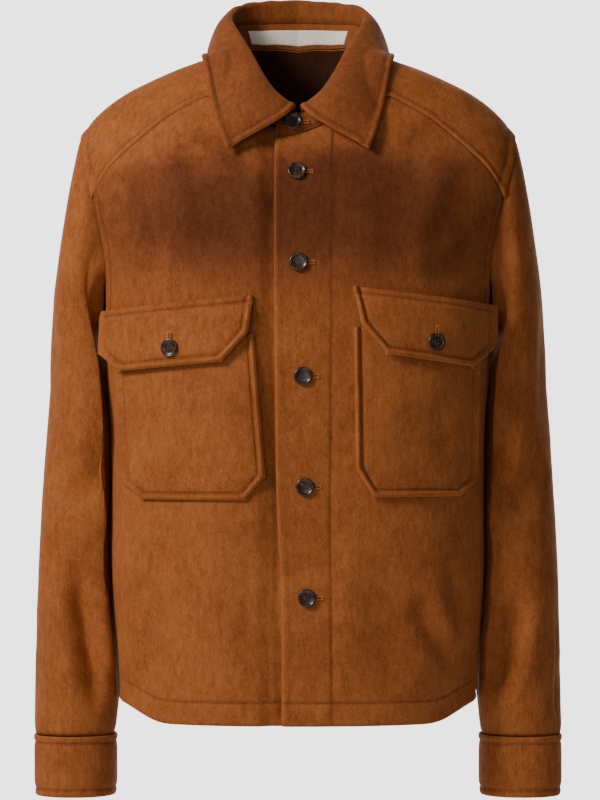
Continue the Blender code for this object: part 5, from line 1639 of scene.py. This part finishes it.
@dataclass(frozen=True)
class BrushedWool:
    """Coat-weight wool whose face is brushed to a short nap that lies down the piece.

    The nap gives the eye a soft, slightly shiny surface with fine streaks down the cloth,
    darker and lighter clouds where it lies another way, and a painted highlight, a paler colour, on the
    turned edges.
    """

    name: str
    dark: str = "#4d250e"
    body: str = "#8b4a1f"
    light: str = "#ab6633"
    chest: float = 0.0             # how strongly painted shade darkens the upper chest
    fibre_mm: float = 1.3          # a wool fibre is finer; drawn this coarse to show in the render
    clump_mm: float = 5.5
    cloud_mm: float = 62.0

    def make(self) -> bpy.types.Material:
        """Builds the node tree and returns the material."""
        material, tree, shader = new_finish(self.name)
        place = add_node(tree, "ShaderNodeTexCoord").outputs["Object"]
        streaked = add_node(tree, "ShaderNodeMapping", Vector=place, Scale=(1.0, 1.0, 0.42)).outputs[0]
        fibre = add_node(tree, "ShaderNodeTexNoise", Vector=streaked, Scale=1000 / self.fibre_mm, Detail=3.0,
                         Roughness=0.62).outputs[0]
        clump = add_node(tree, "ShaderNodeTexNoise", Vector=streaked, Scale=1000 / self.clump_mm, Detail=3.0,
                         Roughness=0.6).outputs[0]
        cloud = add_node(tree, "ShaderNodeTexNoise", Vector=place, Scale=1000 / self.cloud_mm, Detail=4.0,
                         Roughness=0.55, Distortion=0.4).outputs[0]
        clouds = remapped(tree, cloud, (0.36, 0.66), (0.0, 1.0), "SMOOTHSTEP")
        tone = calculated(tree, "MULTIPLY_ADD", clump, 0.55, -0.02)
        tone = calculated(tree, "MULTIPLY_ADD", fibre, 0.75, tone)
        tone = calculated(tree, "MULTIPLY_ADD", clouds, 0.13, tone)
        ramp = add_node(tree, "ShaderNodeValToRGB", Fac=tone)
        ramp.color_ramp.elements[0].position, ramp.color_ramp.elements[0].color = 0.16, linear(self.dark)
        ramp.color_ramp.elements[1].position, ramp.color_ramp.elements[1].color = 1.02, linear(self.light)
        middle = ramp.color_ramp.elements.new(0.58)
        middle.color = linear(self.body)
        colour = ramp.outputs[0]
        # Painted shade: a band across the upper chest, strongest towards the middle, multiplies the colour
        # darker by position.
        if self.chest:
            parts = add_node(tree, "ShaderNodeSeparateXYZ", Vector=place)
            wavy = calculated(tree, "MULTIPLY_ADD", cloud, 0.09, parts.outputs["Z"])
            under = remapped(tree, wavy, (-0.240, -0.125), (0.0, 1.0), "SMOOTHERSTEP")
            over = remapped(tree, wavy, (-0.020, -0.095), (0.0, 1.0), "SMOOTHERSTEP")
            side = remapped(tree, calculated(tree, "ABSOLUTE", parts.outputs["X"]), (0.100, 0.225),
                            (0.85, 0.35), "SMOOTHERSTEP")
            share = calculated(tree, "MULTIPLY", under, over)
            share = calculated(tree, "MULTIPLY", share, side)
            share = calculated(tree, "MULTIPLY", share, self.chest)
            colour = mixed(tree, "MULTIPLY", share, colour, linear("#8d7768"))
        # Painted shade along sewn lines, multiplied into the colour; the same mask also sinks a groove in the
        # bump further down.
        seam_shade_and_groove = add_node(tree, "ShaderNodeAttribute", {"attribute_name": "seam_shade_and_groove"}).outputs["Fac"]
        seam_shade_amount = calculated(tree, "MULTIPLY", seam_shade_and_groove, 0.30)
        colour = mixed(tree, "MULTIPLY", seam_shade_amount, colour, linear("#6b4a36"))
        # Painted highlight: the colour turns paler within 2.6 mm of a free edge.
        rim = add_node(tree, "ShaderNodeAttribute", {"attribute_name": "rim"}).outputs["Fac"]
        edge_highlight = remapped(tree, rim, (0.0, 2.6), (0.28, 0.0), "SMOOTHSTEP")
        colour = mixed(tree, "MIX", edge_highlight, colour, linear(self.light))
        tree.links.new(colour, shader.inputs["Base Color"])
        lay = calculated(tree, "MULTIPLY_ADD", clump, 0.9, fibre)
        lay = calculated(tree, "MULTIPLY_ADD", seam_shade_and_groove, -1.6, lay)
        nap = add_node(tree, "ShaderNodeBump", Height=lay, Strength=0.42, Distance=0.0007).outputs[0]
        tree.links.new(nap, shader.inputs["Normal"])
        rough = remapped(tree, clump, (0.3, 0.7), (0.90, 0.74))
        tree.links.new(rough, shader.inputs["Roughness"])
        shader.inputs["Specular IOR Level"].default_value = 0.22
        shader.inputs["Sheen Weight"].default_value = 0.30
        shader.inputs["Sheen Roughness"].default_value = 0.42
        shader.inputs["Sheen Tint"].default_value = linear("#d9935a")
        return material


@dataclass(frozen=True)
class SewingThread:
    """Spun polyester sewing thread, twisted; it gives small satin highlights."""

    name: str
    colour: str

    def make(self) -> bpy.types.Material:
        """Builds the node tree and returns the material."""
        material, tree, shader = new_finish(self.name)
        place = add_node(tree, "ShaderNodeTexCoord").outputs["Object"]
        twist = add_node(tree, "ShaderNodeTexNoise", Vector=place, Scale=1000 / 0.8, Detail=2.0).outputs[0]
        colour = add_node(tree, "ShaderNodeMixRGB", {"blend_type": "MULTIPLY"}, Fac=0.5,
                          Color1=linear(self.colour),
                          Color2=remapped(tree, twist, (0.0, 1.0), (0.55, 1.25)))
        tree.links.new(colour.outputs[0], shader.inputs["Base Color"])
        shader.inputs["Roughness"].default_value = 0.55
        return material


@dataclass(frozen=True)
class DarkHorn:
    """Turned and polished dark horn; brown and near-black layers under a satin polish."""

    name: str = "dark_horn_turned"
    dark: str = "#120b08"
    brown: str = "#5f3c2a"
    layer_mm: float = 5.0

    def make(self) -> bpy.types.Material:
        """Builds the node tree and returns the material."""
        material, tree, shader = new_finish(self.name)
        place = add_node(tree, "ShaderNodeTexCoord").outputs["Object"]
        layers = add_node(tree, "ShaderNodeTexNoise", Vector=place, Scale=1000 / self.layer_mm, Detail=4.0,
                          Distortion=1.6).outputs[0]
        ramp = add_node(tree, "ShaderNodeValToRGB", Fac=layers)
        ramp.color_ramp.elements[0].position, ramp.color_ramp.elements[0].color = 0.42, linear(self.dark)
        ramp.color_ramp.elements[1].position, ramp.color_ramp.elements[1].color = 0.72, linear(self.brown)
        tree.links.new(ramp.outputs[0], shader.inputs["Base Color"])
        turned = add_node(tree, "ShaderNodeTexNoise", Vector=place, Scale=1000 / 0.6, Detail=2.0).outputs[0]
        tree.links.new(add_node(tree, "ShaderNodeBump", Height=turned, Strength=0.08,
                                Distance=0.0002).outputs[0],
                       shader.inputs["Normal"])
        shader.inputs["Roughness"].default_value = 0.28
        shader.inputs["Coat Weight"].default_value = 0.12
        shader.inputs["Coat Roughness"].default_value = 0.15
        return material


@dataclass(frozen=True)
class Shade:
    """The unlit inside of a small hole or slit."""

    name: str = "hole_shade"
    colour: str = "#0a0503"

    def make(self) -> bpy.types.Material:
        """Builds the node tree and returns the material."""
        material, tree, shader = new_finish(self.name)
        place = add_node(tree, "ShaderNodeTexCoord").outputs["Object"]
        dust = add_node(tree, "ShaderNodeTexNoise", Vector=place, Scale=900.0).outputs[0]
        colour = mixed(tree, "MULTIPLY", 0.4, linear(self.colour), dust)
        tree.links.new(colour, shader.inputs["Base Color"])
        shader.inputs["Roughness"].default_value = 0.95
        return material


@dataclass(frozen=True)
class WovenTape:
    """Cotton label tape in a fine plain weave, left bare."""

    name: str = "woven_label_tape"
    colour: str = "#fffaf0"
    # the darker colour of the weave's hollows: painted shade
    shade: str = "#d8ccb9"
    thread_mm: float = 0.75        # real threads are 0.3 mm; coarser, so that the weave shows

    def make(self) -> bpy.types.Material:
        """Builds the node tree and returns the material."""
        material, tree, shader = new_finish(self.name)
        place = add_node(tree, "ShaderNodeTexCoord").outputs["Object"]
        parts = add_node(tree, "ShaderNodeSeparateXYZ", Vector=place)
        rate = 2 * math.pi * 1000 / self.thread_mm
        waves = []
        for axis in ("X", "Z"):
            turned = calculated(tree, "MULTIPLY", parts.outputs[axis], rate)
            waves.append(calculated(tree, "SINE", turned))
        weave = calculated(tree, "MULTIPLY", waves[0], waves[1])
        share = remapped(tree, weave, (-1.0, 1.0), (0.0, 1.0))
        # Painted shade: the colour darkens towards the weave's hollows, in step with its bump.
        colour = mixed(tree, "MIX", share, linear(self.shade), linear(self.colour))
        tree.links.new(colour, shader.inputs["Base Color"])
        tree.links.new(add_node(tree, "ShaderNodeBump", Height=weave, Strength=0.3,
                                Distance=0.0002).outputs[0],
                       shader.inputs["Normal"])
        shader.inputs["Roughness"].default_value = 0.85
        return material


# ---------------------------------------------------------------- studio
@dataclass
class Studio:
    """A pale floor, soft lights from the viewer's left and the photograph's camera."""

    eye: tuple[float, float, float] = (0.002, -2.865, -0.3485)
    lens: float = 127.6
    floor_z: float = -1.30
    floor_radius: float = 1.6
    dim: float = 0.16
    bright: float = 3.0

    def floor(self) -> bpy.types.Object:
        """Returns the round pale floor, which lies below the photograph's frame."""
        mesh = bmesh.new()
        bmesh.ops.create_circle(mesh, cap_ends=True, segments=96, radius=self.floor_radius,
                                matrix=Matrix.Translation((0, 0, self.floor_z)))
        floor = finished("studio_floor", mesh)
        material, _, shader = new_finish("studio_paper")
        shader.inputs["Base Color"].default_value = linear("#f4f3f1")
        shader.inputs["Roughness"].default_value = 0.9
        dress([floor], material)
        return floor

    def room(self) -> None:
        """Makes the surroundings: bright behind the jacket, dim in front of it."""
        world = bpy.data.worlds.new("studio_room")
        world.use_nodes = True
        tree = world.node_tree
        way = add_node(tree, "ShaderNodeTexCoord").outputs["Generated"]
        depth = add_node(tree, "ShaderNodeSeparateXYZ", Vector=way).outputs["Y"]
        strength = remapped(tree, depth, (0.55, 0.97), (self.dim, self.bright), "SMOOTHSTEP")
        background = tree.nodes["Background"]
        background.inputs["Color"].default_value = linear("#ffffff")
        tree.links.new(strength, background.inputs["Strength"])
        bpy.context.scene.world = world

    def light(self, name: str, spot: tuple[float, float, float], size: float, power: float,
              colour: str) -> None:
        """Adds one soft light aimed at the jacket's middle."""
        data = bpy.data.lights.new(name, "AREA")
        data.shape, data.size, data.energy, data.color = "DISK", size, power, linear(colour)[:3]
        lamp = bpy.data.objects.new(name, data)
        lamp.location = spot
        lamp.rotation_euler = (Vector((0, 0, -0.34)) - Vector(spot)).to_track_quat("-Z", "Y").to_euler()
        bpy.context.scene.collection.objects.link(lamp)

    def build(self) -> None:
        """Makes the floor, the lights, the surroundings and the camera."""
        self.floor()
        self.light("key", (-1.65, -1.30, 0.98), 0.7, 58.0, "#fff6ec")
        self.light("fill", (-0.7, -3.0, 0.1), 1.4, 13.0, "#f3f5ff")
        self.light("top", (-0.6, 0.3, 2.2), 1.0, 6.0, "#ffffff")
        self.light("rear", (1.5, 2.3, 1.0), 1.4, 7.0, "#ffffff")
        self.room()
        data = bpy.data.cameras.new("photo_camera")
        data.lens, data.sensor_width, data.sensor_fit = self.lens, 36.0, "AUTO"
        camera = bpy.data.objects.new("photo_camera", data)
        camera.location, camera.rotation_euler = self.eye, (math.radians(90), 0, 0)
        bpy.context.scene.collection.objects.link(camera)
        bpy.context.scene.camera = camera


def main() -> None:
    """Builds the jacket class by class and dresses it."""
    logging.basicConfig(level=logging.INFO)
    torso, collar = Torso(), Collar()
    arms = [Arm(Wearer.LEFT), Arm(Wearer.RIGHT)]
    # The body's wool carries the painted shade on the upper chest.
    body_wool = BrushedWool("brushed_wool_body", chest=1.0).make()
    patch_wool = BrushedWool("brushed_wool_patches").make()
    arm_wool = BrushedWool("brushed_wool_sleeves").make()
    matching, tan = SewingThread("thread_matching", "#6a3512").make(), SewingThread("thread_tan",
                                                                                    "#c9813f").make()

    # Painted shade: a much darker copy of the wool for the inner faces of the fronts and back, which stand in
    # shadow inside the jacket.
    inside_shade = BrushedWool("wool_reverse_painted_shade", dark="#1c0b04", body="#2e1408", light="#42200e").make()
    # A darker copy of the same wool: painted shade on the collar.
    collar_wool = BrushedWool("brushed_wool_collar", dark="#48220c", body="#783d19", light="#955525").make()

    def finish_cloth(pieces: Sequence[Optional[bpy.types.Object]], wool: bpy.types.Material,
                     inner: Optional[bpy.types.Material] = None) -> None:
        """Gives cloth its wool, and its rows of stitches the matching thread."""
        dress([piece for piece in pieces if piece is not None and not piece.name.endswith("_thread")], wool,
              inner)
        dress([piece for piece in pieces if piece is not None and piece.name.endswith("_thread")], matching)

    finish_cloth(torso.build(), body_wool, inside_shade)
    # Painted shade: a dark copy of the wool for the yoke's inner face, seen in shadow through the neck.
    yoke_inside_shade = BrushedWool("wool_yoke_inside", dark="#1d0c05", body="#35190a", light="#4a2511").make()
    dress([bpy.data.objects["yoke_cloth"]], patch_wool, yoke_inside_shade)
    dress([bpy.data.objects["back_cloth"]], patch_wool, inside_shade)
    for arm in arms:
        finish_cloth(arm.build(), arm_wool)
    finish_cloth(collar.build(), collar_wool)
    for sizes in (RIGHT_PATCH, LEFT_PATCH):
        finish_cloth(ChestPocket(sizes).build(), patch_wool)
    dress([bpy.data.objects["neck_label_cloth"]], WovenTape().make())
    groups = Buttons().build(collar, arms)
    dress(groups["horn"], DarkHorn().make())
    dress(groups["dark"], Shade().make())
    dress(groups["thread"], tan)
    Studio().build()


if __name__ == "__main__":
    main()
